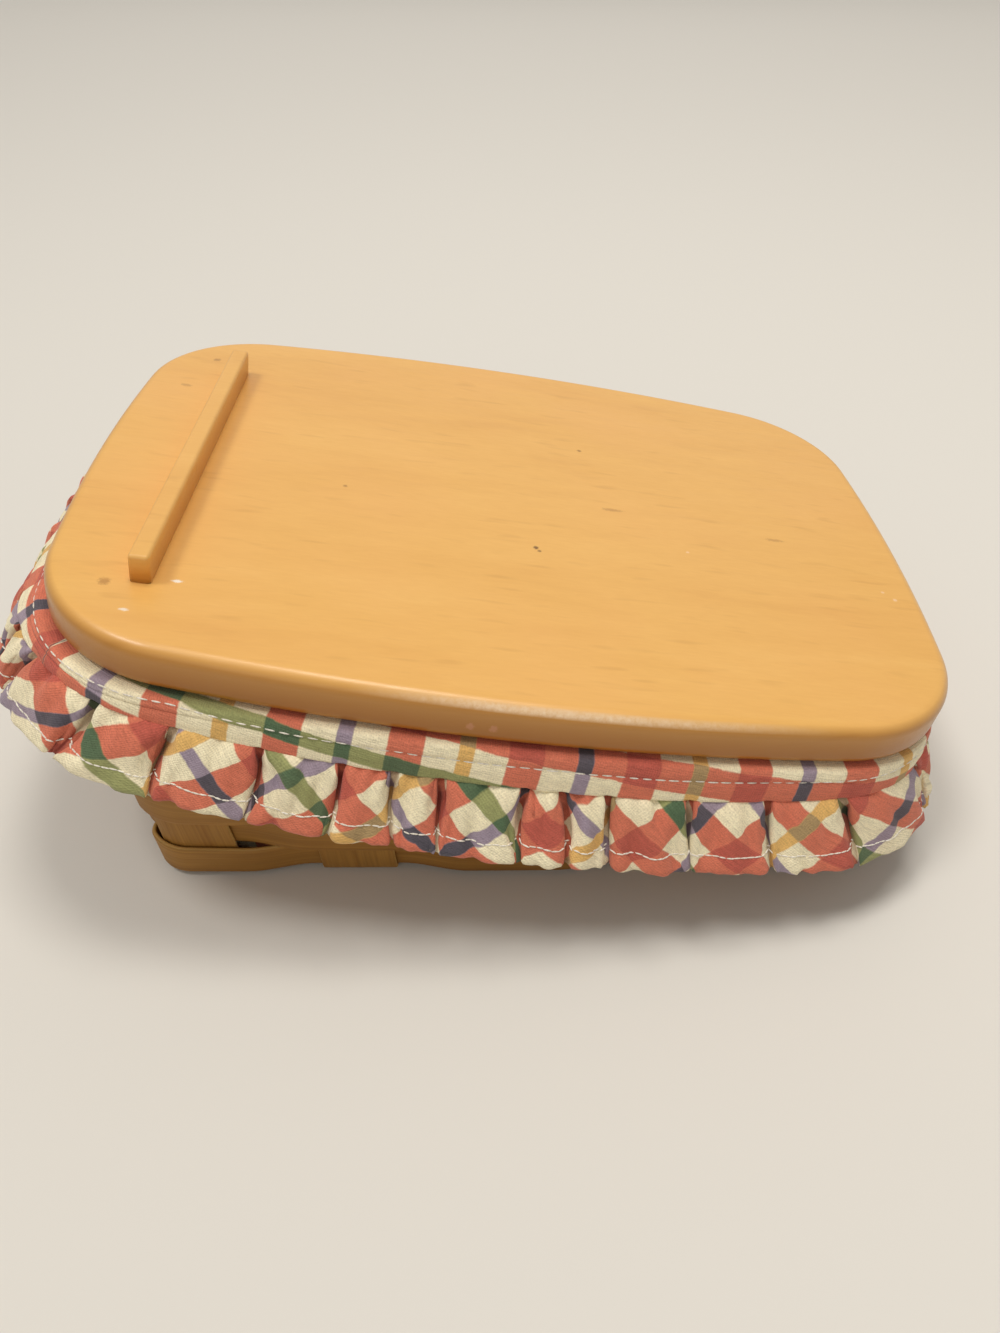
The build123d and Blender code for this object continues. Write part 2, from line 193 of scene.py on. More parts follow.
def arc_point(arc, share, offset=0.0):
    centre_x, centre_y, radius, start, stop = arc
    angle = start + (stop - start) * share
    return centre_x + (radius + offset) * cos(angle), centre_y + (radius + offset) * sin(angle)


def wall_share(turn, rise, offset=0.0):
    """Point of the wall at a share of the way from the floor outline up to the rim."""
    index, share = int(turn) % 8, turn - int(turn)
    low_x, low_y = arc_point(floor_outline[index], share, offset)
    flat_x, flat_y = arc_point(rim_outline[index], share, offset)
    high_x = RIM_ORIGIN[0] + flat_x * rim_x[0]
    high_z = RIM_ORIGIN[2] + flat_x * rim_x[2]
    return low_x + (high_x - low_x) * rise, low_y + (flat_y - low_y) * rise, high_z * rise


def wall_point(turn, height, offset=0.0):
    """Point of the wall at a height. A turn counts the outline's arcs, 8 to a full round."""
    top = wall_share(turn, 1.0, offset)[2]
    return wall_share(turn, height / top, offset)


def halved(low, high, is_low, halvings):
    """Narrows down where a test that holds at the low end stops holding."""
    for _ in range(halvings):
        middle = (low + high) / 2
        if is_low(middle):
            low = middle
        else:
            high = middle
    return low


def find_turn(axis, value, height, start, halvings=24):
    """Turn in the four after start at which the wall's X (axis 0) or Y (axis 1) has a value."""
    rising = wall_point(start + 4, height)[axis] > wall_point(start, height)[axis]
    return halved(
        start, start + 4, lambda turn: (wall_point(turn, height)[axis] < value) == rising, halvings
    )


def fanned(place, height):
    """Place of a stake's middle at a height, where stakes spread apart as they rise."""
    return place * (1 + STAKE_FAN * height / RIM_HEIGHT)


# Meshes


def new_piece(name, points, edges=(), faces=()):
    """Object at the origin with a mesh of its own, from points in millimetres."""
    mesh = bpy.data.meshes.new(name)
    mesh.from_pydata((np.asarray(points) * MM).tolist(), edges, faces)
    piece = bpy.data.objects.new(name, mesh)
    bpy.context.collection.objects.link(piece)
    return piece


def set_values(piece, name, values):
    """Stores one number for each point of a piece."""
    layer = piece.data.attributes.new(name, "FLOAT", "POINT")
    layer.data.foreach_set("value", np.asarray(values, dtype=np.float32).ravel())


def grid_piece(name, points, uv, fullness, closed):
    """Sheet of quads from a grid of points, with a UV for each corner and a fullness for each point."""
    count, width = points.shape[:2]
    spans = count if closed else count - 1
    i, j = np.meshgrid(np.arange(spans), np.arange(width - 1), indexing="ij")
    after = (i + 1) % count
    quads = np.stack([i * width + j, after * width + j, after * width + j + 1, i * width + j + 1], -1)
    corner_uv = np.stack([uv[i, j], uv[i + 1, j], uv[i + 1, j + 1], uv[i, j + 1]], axis=2)
    piece = new_piece(name, points.reshape(-1, 3), (), quads.reshape(-1, 4).tolist())
    layer = piece.data.uv_layers.new(name="UVMap")
    layer.data.foreach_set("uv", (corner_uv * MM).astype(np.float32).ravel())
    set_values(piece, "fullness", fullness)
    return piece


def sheet_normals(points, closed):
    """Unit normals of a grid of points, on the side that its quads face."""
    along = np.roll(points, -1, 0) - np.roll(points, 1, 0) if closed else np.gradient(points, axis=0)
    normal = np.cross(along, np.gradient(points, axis=1))
    return normal / np.maximum(np.linalg.norm(normal, axis=2, keepdims=True), 1e-9)


def outward(points):
    """Normals of a closed band of points, on the side away from the middle of the basket."""
    normals = sheet_normals(points, True)
    if np.mean(np.sum(normals[..., :2] * points[..., :2], axis=2)) < 0:
        normals = -normals
    return normals


def run_lengths(steps, axis=0):
    """Distances so far along an axis of a grid of steps, from 0."""
    return np.insert(np.cumsum(steps, axis=axis), 0, 0.0, axis=axis)


# Nodes


class Signal:
    """Output of a node. Plain arithmetic on it adds math nodes to its tree."""

    def __init__(self, socket):
        self.socket, self.tree = socket, socket.id_data

    def __add__(self, other):
        return maths("ADD", self, other)

    def __sub__(self, other):
        return maths("SUBTRACT", self, other)

    def __mul__(self, other):
        return maths("MULTIPLY", self, other)

    def __truediv__(self, other):
        return maths("DIVIDE", self, other)


def feed(node, inputs):
    """Links signals to a node's inputs, by index or name, and sets plain values on them."""
    for key, value in inputs.items():
        if isinstance(value, Signal):
            node.id_data.links.new(value.socket, node.inputs[key])
        else:
            node.inputs[key].default_value = value


def add_node(tree, kind, inputs=None, output=0, **settings):
    """One output of a new node, whose settings and inputs are set first."""
    node = tree.nodes.new(kind)
    for label, value in settings.items():
        setattr(node, label, value)
    feed(node, inputs or {})
    return Signal(node.outputs[output])


def spaced(values):
    """Socket values under the names that sockets have, with spaces."""
    return {label.replace("_", " "): value for label, value in values.items()}


def maths(operation, *values):
    """Math node, from signals or numbers."""
    tree = next(value.tree for value in values if isinstance(value, Signal))
    return add_node(tree, "ShaderNodeMath", dict(enumerate(values)), operation=operation)


def vector_maths(operation, first, *others, output=0):
    values = dict(enumerate((first, *others)))
    return add_node(first.tree, "ShaderNodeVectorMath", values, output, operation=operation)


def scaled(vector, factor):
    """Vector times a number or a signal."""
    return add_node(vector.tree, "ShaderNodeVectorMath", {0: vector, "Scale": factor}, operation="SCALE")


def parts(vector):
    """X, Y and Z of a vector."""
    split = vector.tree.nodes.new("ShaderNodeSeparateXYZ")
    feed(split, {0: vector})
    return [Signal(socket) for socket in split.outputs]


def noise(vector, scale, detail=2.0, roughness=0.5, distortion=0.0, output=0):
    values = {"Scale": scale, "Detail": detail, "Roughness": roughness, "Distortion": distortion}
    return add_node(vector.tree, "ShaderNodeTexNoise", {"Vector": vector, **values}, output)


def ranged(value, low, high, to_low=0.0, to_high=1.0, smooth=False):
    """Map Range, clamped."""
    kind = "SMOOTHSTEP" if smooth else "LINEAR"
    numbers = {0: value, 1: low, 2: high, 3: to_low, 4: to_high}
    return add_node(value.tree, "ShaderNodeMapRange", numbers, interpolation_type=kind)


def mixed(tree, factor, first, second, blend="MIX"):
    """Colour mix, from signals or linear colours."""
    colours = {0: factor, 6: first, 7: second}
    return add_node(tree, "ShaderNodeMix", colours, 2, data_type="RGBA", blend_type=blend)


def ramp(value, *stops):
    """Colour ramp through (position, linear colour) stops."""
    node = value.tree.nodes.new("ShaderNodeValToRGB")
    while len(node.color_ramp.elements) < len(stops):
        node.color_ramp.elements.new(0.5)
    for element, (position, colour) in zip(node.color_ramp.elements, stops):
        element.position, element.color = position, colour
    feed(node, {0: value})
    return Signal(node.outputs[0])


def new_group(kind, name, inputs, outputs):
    """Node group with named sockets: (name, kind, default) in, and (name, kind) out."""
    tree = bpy.data.node_groups.new(name, f"{kind}NodeTree")
    for label, socket_kind, default in inputs:
        socket = tree.interface.new_socket(
            label, in_out="INPUT", socket_type=f"NodeSocket{socket_kind}"
        )
        if default is not None:
            socket.default_value = default
    for label, socket_kind in outputs:
        tree.interface.new_socket(label, in_out="OUTPUT", socket_type=f"NodeSocket{socket_kind}")
    given = {socket.name: Signal(socket) for socket in tree.nodes.new("NodeGroupInput").outputs}
    return tree, given, tree.nodes.new("NodeGroupOutput")


# Geometry nodes


def finished(tree, shape, material):
    """Last nodes of a tree: smooth faces, real ones, in their material."""
    smooth = add_node(tree, "GeometryNodeSetShadeSmooth", {0: shape})
    real = add_node(tree, "GeometryNodeRealizeInstances", {0: smooth})
    return add_node(tree, "GeometryNodeSetMaterial", {0: real, "Material": material})


def sheet_tree():
    """Gives a sheet its two faces: it is pushed out and in along its normal by its fullness."""
    tree, given, out = new_group(
        "Geometry",
        "sheet body",
        [
            ("Geometry", "Geometry", None),
            ("Thickness", "Float", 0.001),
            ("Unevenness", "Float", 0.0),
            ("Uneven Size", "Float", 0.02),
            ("Seed", "Float", 0.0),
            ("Material", "Material", None),
        ],
        [("Geometry", "Geometry")],
    )
    fullness = add_node(
        tree, "GeometryNodeInputNamedAttribute", {"Name": "fullness"}, "Attribute", data_type="FLOAT"
    )
    normal = add_node(tree, "GeometryNodeInputNormal")
    wave = {
        "Vector": add_node(tree, "GeometryNodeInputPosition"),
        "W": given["Seed"],
        "Scale": maths("DIVIDE", 1.0, given["Uneven Size"]),
        "Detail": 2.0,
    }
    wander = add_node(tree, "ShaderNodeTexNoise", wave, noise_dimensions="4D") - 0.5
    wander = wander * given["Unevenness"]
    half = given["Thickness"] * 0.5 * fullness
    join = tree.nodes.new("GeometryNodeJoinGeometry")
    for operation in ("ADD", "SUBTRACT"):
        push = scaled(normal, maths(operation, wander, half))
        side = add_node(tree, "GeometryNodeSetPosition", {"Geometry": given["Geometry"], "Offset": push})
        if operation == "SUBTRACT":
            side = add_node(tree, "GeometryNodeFlipFaces", {0: side})
        feed(join, {0: side})
    both = Signal(join.outputs[0])
    whole = add_node(tree, "GeometryNodeMergeByDistance", {"Geometry": both, "Distance": 2e-6})
    feed(out, {0: finished(tree, whole, given["Material"])})
    return tree


def stitch_tree():
    """Lays threads end to end along a line of edges, each a short rounded dash."""
    tree, given, out = new_group(
        "Geometry",
        "stitch run",
        [
            ("Geometry", "Geometry", None),
            ("Pitch", "Float", 0.0023),
            ("Thread Length", "Float", 0.0018),
            ("Thread Width", "Float", 0.0005),
            ("Seed", "Int", 0),
            ("Material", "Material", None),
        ],
        [("Geometry", "Geometry")],
    )
    curve = add_node(tree, "GeometryNodeMeshToCurve", {0: given["Geometry"]})
    places = add_node(
        tree, "GeometryNodeResampleCurve", {"Curve": curve, "Length": given["Pitch"]}, mode="LENGTH"
    )
    dash = add_node(tree, "GeometryNodeMeshUVSphere", {"Segments": 6, "Rings": 6, "Radius": 0.5})
    tangent = add_node(tree, "GeometryNodeInputTangent")
    turn = add_node(tree, "FunctionNodeAlignRotationToVector", {"Vector": tangent}, axis="Z")
    change = add_node(
        tree, "FunctionNodeRandomValue", {2: 0.82, 3: 1.1, "Seed": given["Seed"]}, 1, data_type="FLOAT"
    )
    width = given["Thread Width"]
    size = add_node(
        tree, "ShaderNodeCombineXYZ", {0: width, 1: width, 2: given["Thread Length"] * change}
    )
    threads = add_node(
        tree,
        "GeometryNodeInstanceOnPoints",
        {"Points": places, "Instance": dash, "Rotation": turn, "Scale": size},
    )
    feed(out, {0: finished(tree, threads, given["Material"])})
    return tree


def run_nodes(piece, tree, **values):
    """Puts a tree on a piece, sets its named inputs and turns the result into a plain mesh."""
    modifier = piece.modifiers.new(tree.name, "NODES")
    modifier.node_group = tree
    for socket in tree.interface.items_tree:
        key = socket.name.lower().replace(" ", "_")
        if socket.in_out == "INPUT" and key in values:
            modifier[socket.identifier] = values[key]
    view = bpy.context.evaluated_depsgraph_get()
    mesh = bpy.data.meshes.new_from_object(
        piece.evaluated_get(view), preserve_all_data_layers=True, depsgraph=view
    )
    mesh.name = piece.name
    piece.modifiers.clear()
    piece.data = mesh
    return piece


sheet_nodes, stitch_nodes = sheet_tree(), stitch_tree()


def thicken(piece, material, thickness, unevenness, uneven_size, seed):
    """Gives a sheet its body of wood or cloth, by sizes in millimetres."""
    return run_nodes(
        piece,
        sheet_nodes,
        thickness=thickness * MM,
        unevenness=unevenness * MM,
        uneven_size=uneven_size * MM,
        seed=float(seed),
        material=material,
    )


# Shader groups


def srgb(red, green, blue):
    """Linear colour from the 0 to 255 values that a screen shows."""
    return tuple(
        c / 12.92 if c <= 0.04045 else ((c + 0.055) / 1.055) ** 2.4
        for c in (red / 255, green / 255, blue / 255)
    ) + (1.0,)


def darker(colour, share):
    return tuple(c * share for c in colour[:3]) + (1.0,)


def grain_group():
    """Wood grain that runs along X of the vector: a slow tone, fine fibres and a surface height."""
    tree, given, out = new_group(
        "Shader",
        "wood grain",
        [
            ("Vector", "Vector", None),
            ("Slow Stretch", "Float", 0.09),
            ("Fine Stretch", "Float", 0.03),
        ],
        [("Tone", "Float"), ("Fibre", "Float"), ("Height", "Float")],
    )
    along, across, deep = parts(given["Vector"])

    def stretched(stretch, scale, detail, distortion):
        place = add_node(
            tree, "ShaderNodeCombineXYZ", {0: along * given[stretch], 1: across, 2: deep}
        )
        return noise(place, scale, detail, 0.55, distortion)

    slow = stretched("Slow Stretch", 55.0, 3.0, 0.6)
    streak = stretched("Slow Stretch", 260.0, 3.0, 0.2)
    fibre = stretched("Fine Stretch", 1500.0, 2.0, 0.0)
    height = streak * 0.5 + fibre * 0.5
    feed(out, {"Tone": slow * 0.62 + streak * 0.38, "Fibre": fibre, "Height": height})
    return tree


def mark_group():
    """Mask of one small mark: 1 at its place, falling to 0 at its size, with a ragged edge."""
    tree, given, out = new_group(
        "Shader",
        "small mark",
        [
            ("Vector", "Vector", None),
            ("Place", "Vector", (0, 0, 0)),
            ("Size", "Float", 0.001),
            ("Stretch", "Vector", (1, 1, 1)),
        ],
        [("Mask", "Float")],
    )
    away = vector_maths("SUBTRACT", given["Vector"], given["Place"])
    away = vector_maths("MULTIPLY", away, given["Stretch"])
    share = vector_maths("LENGTH", away, output="Value") / given["Size"]
    ragged = noise(given["Vector"], 1500.0) * 0.9
    feed(out, {"Mask": ranged(share + ragged, 0.75, 1.35, 1.0, 0.0, True)})
    return tree


# The plaid's sizes in metres: its repeat, half widths of its stripes, soft edge, thread spacing
PLAID_REPEAT = 0.0251
RED_HALF = 0.00375
GREEN_HALF = 0.0019
THIN_HALF = 0.00165
STRIPE_EDGE = 0.00022
THREAD_PITCH = 0.00052

# The colours of its yarns, and those that stripes make where they cross
CREAM = srgb(247, 237, 204)
RED = srgb(217, 123, 98)
RED_ON_RED = srgb(194, 98, 84)
PURPLE = srgb(160, 146, 162)
PURPLE_ON_RED = srgb(90, 86, 96)
MUSTARD = srgb(230, 186, 114)
MUSTARD_ON_RED = srgb(176, 150, 108)
GREEN = srgb(156, 160, 108)
DARK_GREEN = srgb(88, 112, 84)


def stripe(coordinate, middle, half, period):
    """1 within half a width of the middle of each repeat, with a soft edge."""
    along = maths("FLOORED_MODULO", coordinate - (middle - period / 2), period)
    away = maths("ABSOLUTE", along - period / 2)
    return ranged(away, half - STRIPE_EDGE, half + STRIPE_EDGE, 1.0, 0.0, True)


def plaid_group():
    """Woven plaid in the cloth's own coordinates, turned and shifted: colour, and weave height."""
    tree, given, out = new_group(
        "Shader",
        "woven plaid",
        [("Vector", "Vector", None), ("Angle", "Float", 0.0), ("Shift", "Vector", (0, 0, 0))],
        [("Color", "Color"), ("Height", "Float"), ("Fibre", "Float")],
    )
    turned = add_node(
        tree,
        "ShaderNodeVectorRotate",
        {"Vector": given["Vector"], "Angle": given["Angle"]},
        rotation_type="Z_AXIS",
    )
    cloth = vector_maths("ADD", turned, given["Shift"])
    wobble = scaled(noise(cloth, 900.0, output="Color"), 0.00035)
    across, down, _ = parts(vector_maths("ADD", cloth, wobble))

    red_warp, red_weft = (stripe(way, 0.0, RED_HALF, PLAID_REPEAT) for way in (across, down))
    first, second, period = PLAID_REPEAT / 2, PLAID_REPEAT * 1.5, 2 * PLAID_REPEAT
    purple = stripe(across, first, THIN_HALF, period)
    mustard = stripe(across, second, THIN_HALF, period)
    green = stripe(down, first, GREEN_HALF, period)
    purple_weft = stripe(down, second, THIN_HALF, period)

    either = maths("MAXIMUM", red_warp, red_weft)
    colour = mixed(tree, either, CREAM, RED)
    for stripes, tint in (
        (red_warp * red_weft, RED_ON_RED),
        (purple, PURPLE),
        (purple * red_weft, PURPLE_ON_RED),
        (purple_weft, PURPLE),
        (purple_weft * red_warp, PURPLE_ON_RED),
        (mustard, MUSTARD),
        (mustard * red_weft, MUSTARD_ON_RED),
        (green, GREEN),
        (green * maths("MAXIMUM", red_warp, purple), DARK_GREEN),
    ):
        colour = mixed(tree, stripes, colour, tint)

    warp, weft = (maths("SINE", way * (2 * pi / THREAD_PITCH)) for way in (across, down))
    weave = (warp + weft) * 0.25
    grain = noise(cloth, 2600.0, 2.0, 0.6)
    slub = noise(vector_maths("MULTIPLY", cloth, (0.25, 1.0, 1.0)), 1300.0, 1.0)
    height = (weave + 0.5) + (grain - 0.5)
    tone = weave * 0.12 + ((grain - 0.5) * 0.75 + (slub - 0.5) * 0.4)
    feed(out, {"Color": scaled(colour, tone + 1.0), "Height": height, "Fibre": grain})
    return tree


grain_nodes, mark_nodes, plaid_nodes = grain_group(), mark_group(), plaid_group()


# Materials


def new_material(name, roughness, **sockets):
    """Material with a Principled shader whose plain values are set by name."""
    material = bpy.data.materials.new(name)
    material.use_nodes = True
    shader = material.node_tree.nodes["Principled BSDF"]
    feed(shader, {"Roughness": roughness, **spaced(sockets)})
    return material, material.node_tree, shader


def placed_group(tree, group, vector, **values):
    """Outputs of a shader group in a material, with its values set by name."""
    node = tree.nodes.new("ShaderNodeGroup")
    node.node_tree = group
    feed(node, {"Vector": vector, **spaced(values)})
    return {socket.name: Signal(socket) for socket in node.outputs}


def add_bump(shader, height, strength, distance):
    bump = {"Height": height, "Strength": strength, "Distance": distance}
    feed(shader, {"Normal": add_node(shader.id_data, "ShaderNodeBump", bump)})


def coordinates(tree, output):
    return add_node(tree, "ShaderNodeTexCoord", output=output)


def stored_value(tree, name):
    """The value that a piece stores under a name."""
    return add_node(tree, "ShaderNodeAttribute", output="Fac", attribute_name=name)


NICK = srgb(92, 56, 24)
KNOT = srgb(164, 112, 52)
CHIP = srgb(250, 214, 176)
GLUE = srgb(250, 244, 232)
BRUISE = srgb(216, 152, 122)

# Marks on the lid: (length and width on the lid, and height where it isn't the top), size, stretch
# along the grain, colour, strength
LID_MARKS = [
    ((4.8, -21.8), 1.1, 1, NICK, 0.8),
    ((5.6, -23.0), 0.8, 1, NICK, 0.6),
    ((-90.5, -56.4), 1.9, 1, KNOT, 0.6),
    ((-89.7, 58.2), 1.5, 1, KNOT, 0.6),
    ((-94.5, 39.1), 1.2, 2, KNOT, 0.45),
    ((-44.6, -4.4), 0.9, 1, KNOT, 0.7),
    ((19.8, 32.7), 1.0, 1, KNOT, 0.8),
    ((26.7, 1.5), 1.1, 5, KNOT, 0.45),
    ((71.7, -3.0), 1.1, 4, KNOT, 0.4),
    ((-75.9, -53.4), 0.9, 2, GLUE, 0.9),
    ((-84.1, -65.2), 0.8, 2, GLUE, 0.7),
    ((45.3, -14.8), 0.7, 1, CHIP, 0.6),
    ((99.3, -24.6), 0.9, 1, CHIP, 0.7),
    ((96.9, -21.8), 0.7, 1, CHIP, 0.6),
    ((-10.3, -82.3, 4.6), 1.4, 1, BRUISE, 0.38),
    ((-5.3, -82.3, 4.6), 1.4, 1, BRUISE, 0.38),
]

# Where a painted highlight runs along the near top edge, in metres: (axis, where it begins, where it is
# full)
PAINTED_HIGHLIGHT_SPAN = ((0, -0.035, -0.005), (0, 0.07, 0.02), (1, -0.076, -0.078))

# Stain and painted shade on the lid's rounded top edge, as a share of the darkest
TOP_STAIN_AND_SHADE = 0.72


def lid_material():
    """Honey maple under a satin coat, darker round the edge, partly stain and partly painted shade, with a
    painted highlight along the near top edge.
    """
    material, tree, shader = new_material(
        "honey maple", 0.36, Coat_Weight=0.25, Coat_Roughness=0.22, Specular_IOR_Level=0.45
    )
    where = coordinates(tree, "Object")
    grain = placed_group(tree, grain_nodes, where, Slow_Stretch=0.11, Fine_Stretch=0.045)
    colour = ramp(
        grain["Tone"],
        (0.30, srgb(230, 174, 92)),
        (0.44, srgb(235, 181, 98)),
        (0.58, srgb(238, 185, 102)),
        (0.72, srgb(241, 190, 108)),
    )
    # The stored edge value is stain darkened further as painted shade, darkest low on the side and round the
    # underside
    edge = stored_value(tree, "edge")
    blotch = noise(where, 22.0, 3.0)
    pore = noise(vector_maths("MULTIPLY", where, (0.07, 1.0, 1.0)), 420.0, 1.0, 0.4)
    # Painted highlight: a pale speckled streak on the rounded top edge, on the near side only
    painted_highlight = maths("MAXIMUM", edge * maths("SUBTRACT", TOP_STAIN_AND_SHADE, edge) * 1.9, 0.0)
    place = parts(where)
    for axis, low, high in PAINTED_HIGHLIGHT_SPAN:
        painted_highlight = painted_highlight * ranged(place[axis], low, high)
    speck = ranged(noise(where, 900.0, 3.0, 0.7), 0.3, 0.7, 1.3, 2.9)
    for share, tint in (
        (ranged(grain["Fibre"], 0.3, 0.7) * 0.1, srgb(206, 144, 72)),
        (ranged(blotch, 0.42, 0.75, 0.0, 0.3), srgb(240, 180, 108)),
        (ranged(pore, 0.64, 0.8, 0.0, 0.3), srgb(204, 146, 72)),
        # Stain round the edge, with painted shade on the side
        (edge * 0.95, srgb(160, 98, 12)),
        # Painted highlight along the near top edge
        (painted_highlight * speck, srgb(252, 232, 204)),
    ):
        colour = mixed(tree, share, colour, tint)
    for spot, size, stretch, tint, strength in LID_MARKS:
        mark = placed_group(
            tree,
            mark_nodes,
            where,
            Place=tuple(lid_place(*spot) * MM),
            Size=size * MM,
            Stretch=(1 / stretch, 1.0, 1.0),
        )
        colour = mixed(tree, mark["Mask"] * strength, colour, tint)
    feed(shader, {"Base Color": colour, "Roughness": ranged(grain["Height"], 0.3, 0.7, 0.30, 0.44)})
    add_bump(shader, grain["Height"], 0.12, 0.0003)
    return material


def splint_material(name, grain_from, dark, light, bare_edge=None):
    """Thin split wood. Its grain runs along the piece's own UV map, or along X of Object."""
    material, tree, shader = new_material(name, 0.55, Specular_IOR_Level=0.35)
    where = coordinates(tree, grain_from)
    grain = placed_group(tree, grain_nodes, where, Slow_Stretch=0.05, Fine_Stretch=0.02)
    colour = ramp(grain["Tone"], (0.28, dark), (0.72, light))
    colour = mixed(tree, ranged(grain["Fibre"], 0.35, 0.68, 0.0, 0.35), colour, darker(dark, 0.55))
    blotch = noise(coordinates(tree, "Object"), 38.0)
    colour = mixed(tree, ranged(blotch, 0.35, 0.68, 0.0, 0.35), colour, darker(dark, 0.72))
    if bare_edge:
        bare = ranged(stored_value(tree, "fullness"), 0.35, 0.95, 0.75, 0.0)
        colour = mixed(tree, bare, colour, bare_edge)
    feed(shader, {"Base Color": colour})
    add_bump(shader, grain["Height"], 0.35, 0.0004)
    return material


def plaid_material(name, angle, shift, soften=0.0):
    """Coarse cotton plaid on the piece's own UV map."""
    material, tree, shader = new_material(
        name, 0.9, Specular_IOR_Level=0.18, Sheen_Weight=0.12, Sheen_Roughness=0.5
    )
    plaid = placed_group(tree, plaid_nodes, coordinates(tree, "UV"), Angle=angle, Shift=shift)
    colour = plaid["Color"]
    if soften:
        colour = mixed(tree, soften, colour, srgb(214, 190, 152))
    wear = noise(coordinates(tree, "Object"), 60.0, 3.0, 0.6)
    colour = mixed(tree, ranged(wear, 0.4, 0.75, 0.0, 0.12), colour, srgb(150, 104, 74))
    # Painted shade: the cloth is darkened deep in the creases, by the stored fold value
    painted_crease_shade = stored_value(tree, "fold") * 0.8
    colour = mixed(tree, painted_crease_shade, colour, srgb(146, 112, 94), "MULTIPLY")
    feed(shader, {"Base Color": colour, "Roughness": ranged(plaid["Fibre"], 0.2, 0.8, 0.82, 0.98)})
    add_bump(shader, plaid["Height"], 0.5, 0.00022)
    return material


def thread_material():
    material, tree, shader = new_material("white thread", 0.75, Sheen_Weight=0.2)
    twist = noise(coordinates(tree, "Object"), 1800.0)
    colour = ramp(twist, (0.35, srgb(214, 206, 192)), (0.65, srgb(246, 242, 232)))
    feed(shader, {"Base Color": colour})
    add_bump(shader, twist, 0.3, 0.0001)
    return material


def tack_material():
    material, tree, shader = new_material("tack brass", 0.38, Metallic=1.0)
    age = noise(coordinates(tree, "Object"), 700.0, 3.0)
    colour = ramp(age, (0.35, srgb(146, 112, 62)), (0.65, srgb(204, 166, 98)))
    feed(shader, {"Base Color": colour, "Roughness": ranged(age, 0.3, 0.7, 0.5, 0.3)})
    return material


maple = lid_material()
splint_wood = splint_material(
    "split maple", "UV", srgb(144, 95, 34), srgb(200, 152, 74), srgb(212, 174, 104)
)
band_wood = splint_material("rim band wood", "Object", srgb(160, 112, 52), srgb(196, 148, 80))
thread = thread_material()
tack_brass = tack_material()
cuff_cloth = plaid_material("plaid cuff", radians(7.9), (0.0183, -0.01, 0.0))
ruffle_cloth = plaid_material("plaid ruffle", radians(48.2), (-0.0167, -0.0183, 0.0))
bag_cloth = plaid_material("plaid lining", 0.0, (0.003, 0.002, 0.0), 0.06)


# Lid and ledge


def quarter(steps):
    """Angles of a quarter turn, with both its ends."""
    return [pi / 2 * k / steps for k in range(steps + 1)]


def lid_profile():
    """Section of the board from its underside up: (offset from the outline, height, stain and painted
    shade).
    """
    plug = PLUG_INSET + PLUG_ROUNDING
    profile = [(-plug - 0.3, -PLUG_DEPTH, 0.2)]
    profile += [
        (PLUG_ROUNDING * sin(a) - plug, PLUG_ROUNDING * (1 - cos(a)) - PLUG_DEPTH, 0.3)
        for a in quarter(4)
    ]
    profile += [(-PLUG_INSET, -0.05, 0.4), (-PLUG_INSET, 0.0, 0.4), (-PLUG_INSET + 0.05, 0.0, 0.4)]
    profile += [(-LID_BOTTOM_ROUNDING - 0.4, 0.0, 0.6)]
    profile += [
        (LID_BOTTOM_ROUNDING * (sin(a) - 1), LID_BOTTOM_ROUNDING * (1 - cos(a)), 0.9 + 0.1 * k / 8)
        for k, a in enumerate(quarter(8))
    ]
    profile += [(0.0, 5.0, 0.9)]
    profile += [
        (
            LID_TOP_ROUNDING * (cos(a) - 1),
            LID_THICKNESS - LID_TOP_ROUNDING * (1 - sin(a)),
            TOP_STAIN_AND_SHADE * (1.0 - min(1.0, max(0.0, (k - 3) / 6))),
        )
        for k, a in enumerate(quarter(12))
    ]
    return profile + [(-LID_TOP_ROUNDING - inward, LID_THICKNESS, 0.0) for inward in (0.3, 6.0)]


def build_lid(count=420):
    """The board: rounded under and over, with a step below that drops inside the liner."""
    distances = np.arange(count) * girth(lid_outline) / count
    profile = lid_profile()
    rings = [
        slanted(lid_origin, walk(lid_outline, distances, offset)[0], np.full(count, height))
        for offset, height, _ in profile
    ]
    after = [(i + 1) % count for i in range(count)]
    faces = [
        (k * count + i, k * count + after[i], (k + 1) * count + after[i], (k + 1) * count + i)
        for k in range(len(rings) - 1)
        for i in range(count)
    ]
    faces.append(tuple(range(count))[::-1])
    faces.append(tuple((len(rings) - 1) * count + i for i in range(count)))
    piece = new_piece("lid_panel", np.concatenate(rings), (), faces)
    # The edge value of each ring: stain and painted shade
    set_values(piece, "edge", np.repeat([stain_and_shade for _, _, stain_and_shade in profile], count))
    piece.data.shade_smooth()
    piece.data.materials.append(maple)
    return piece


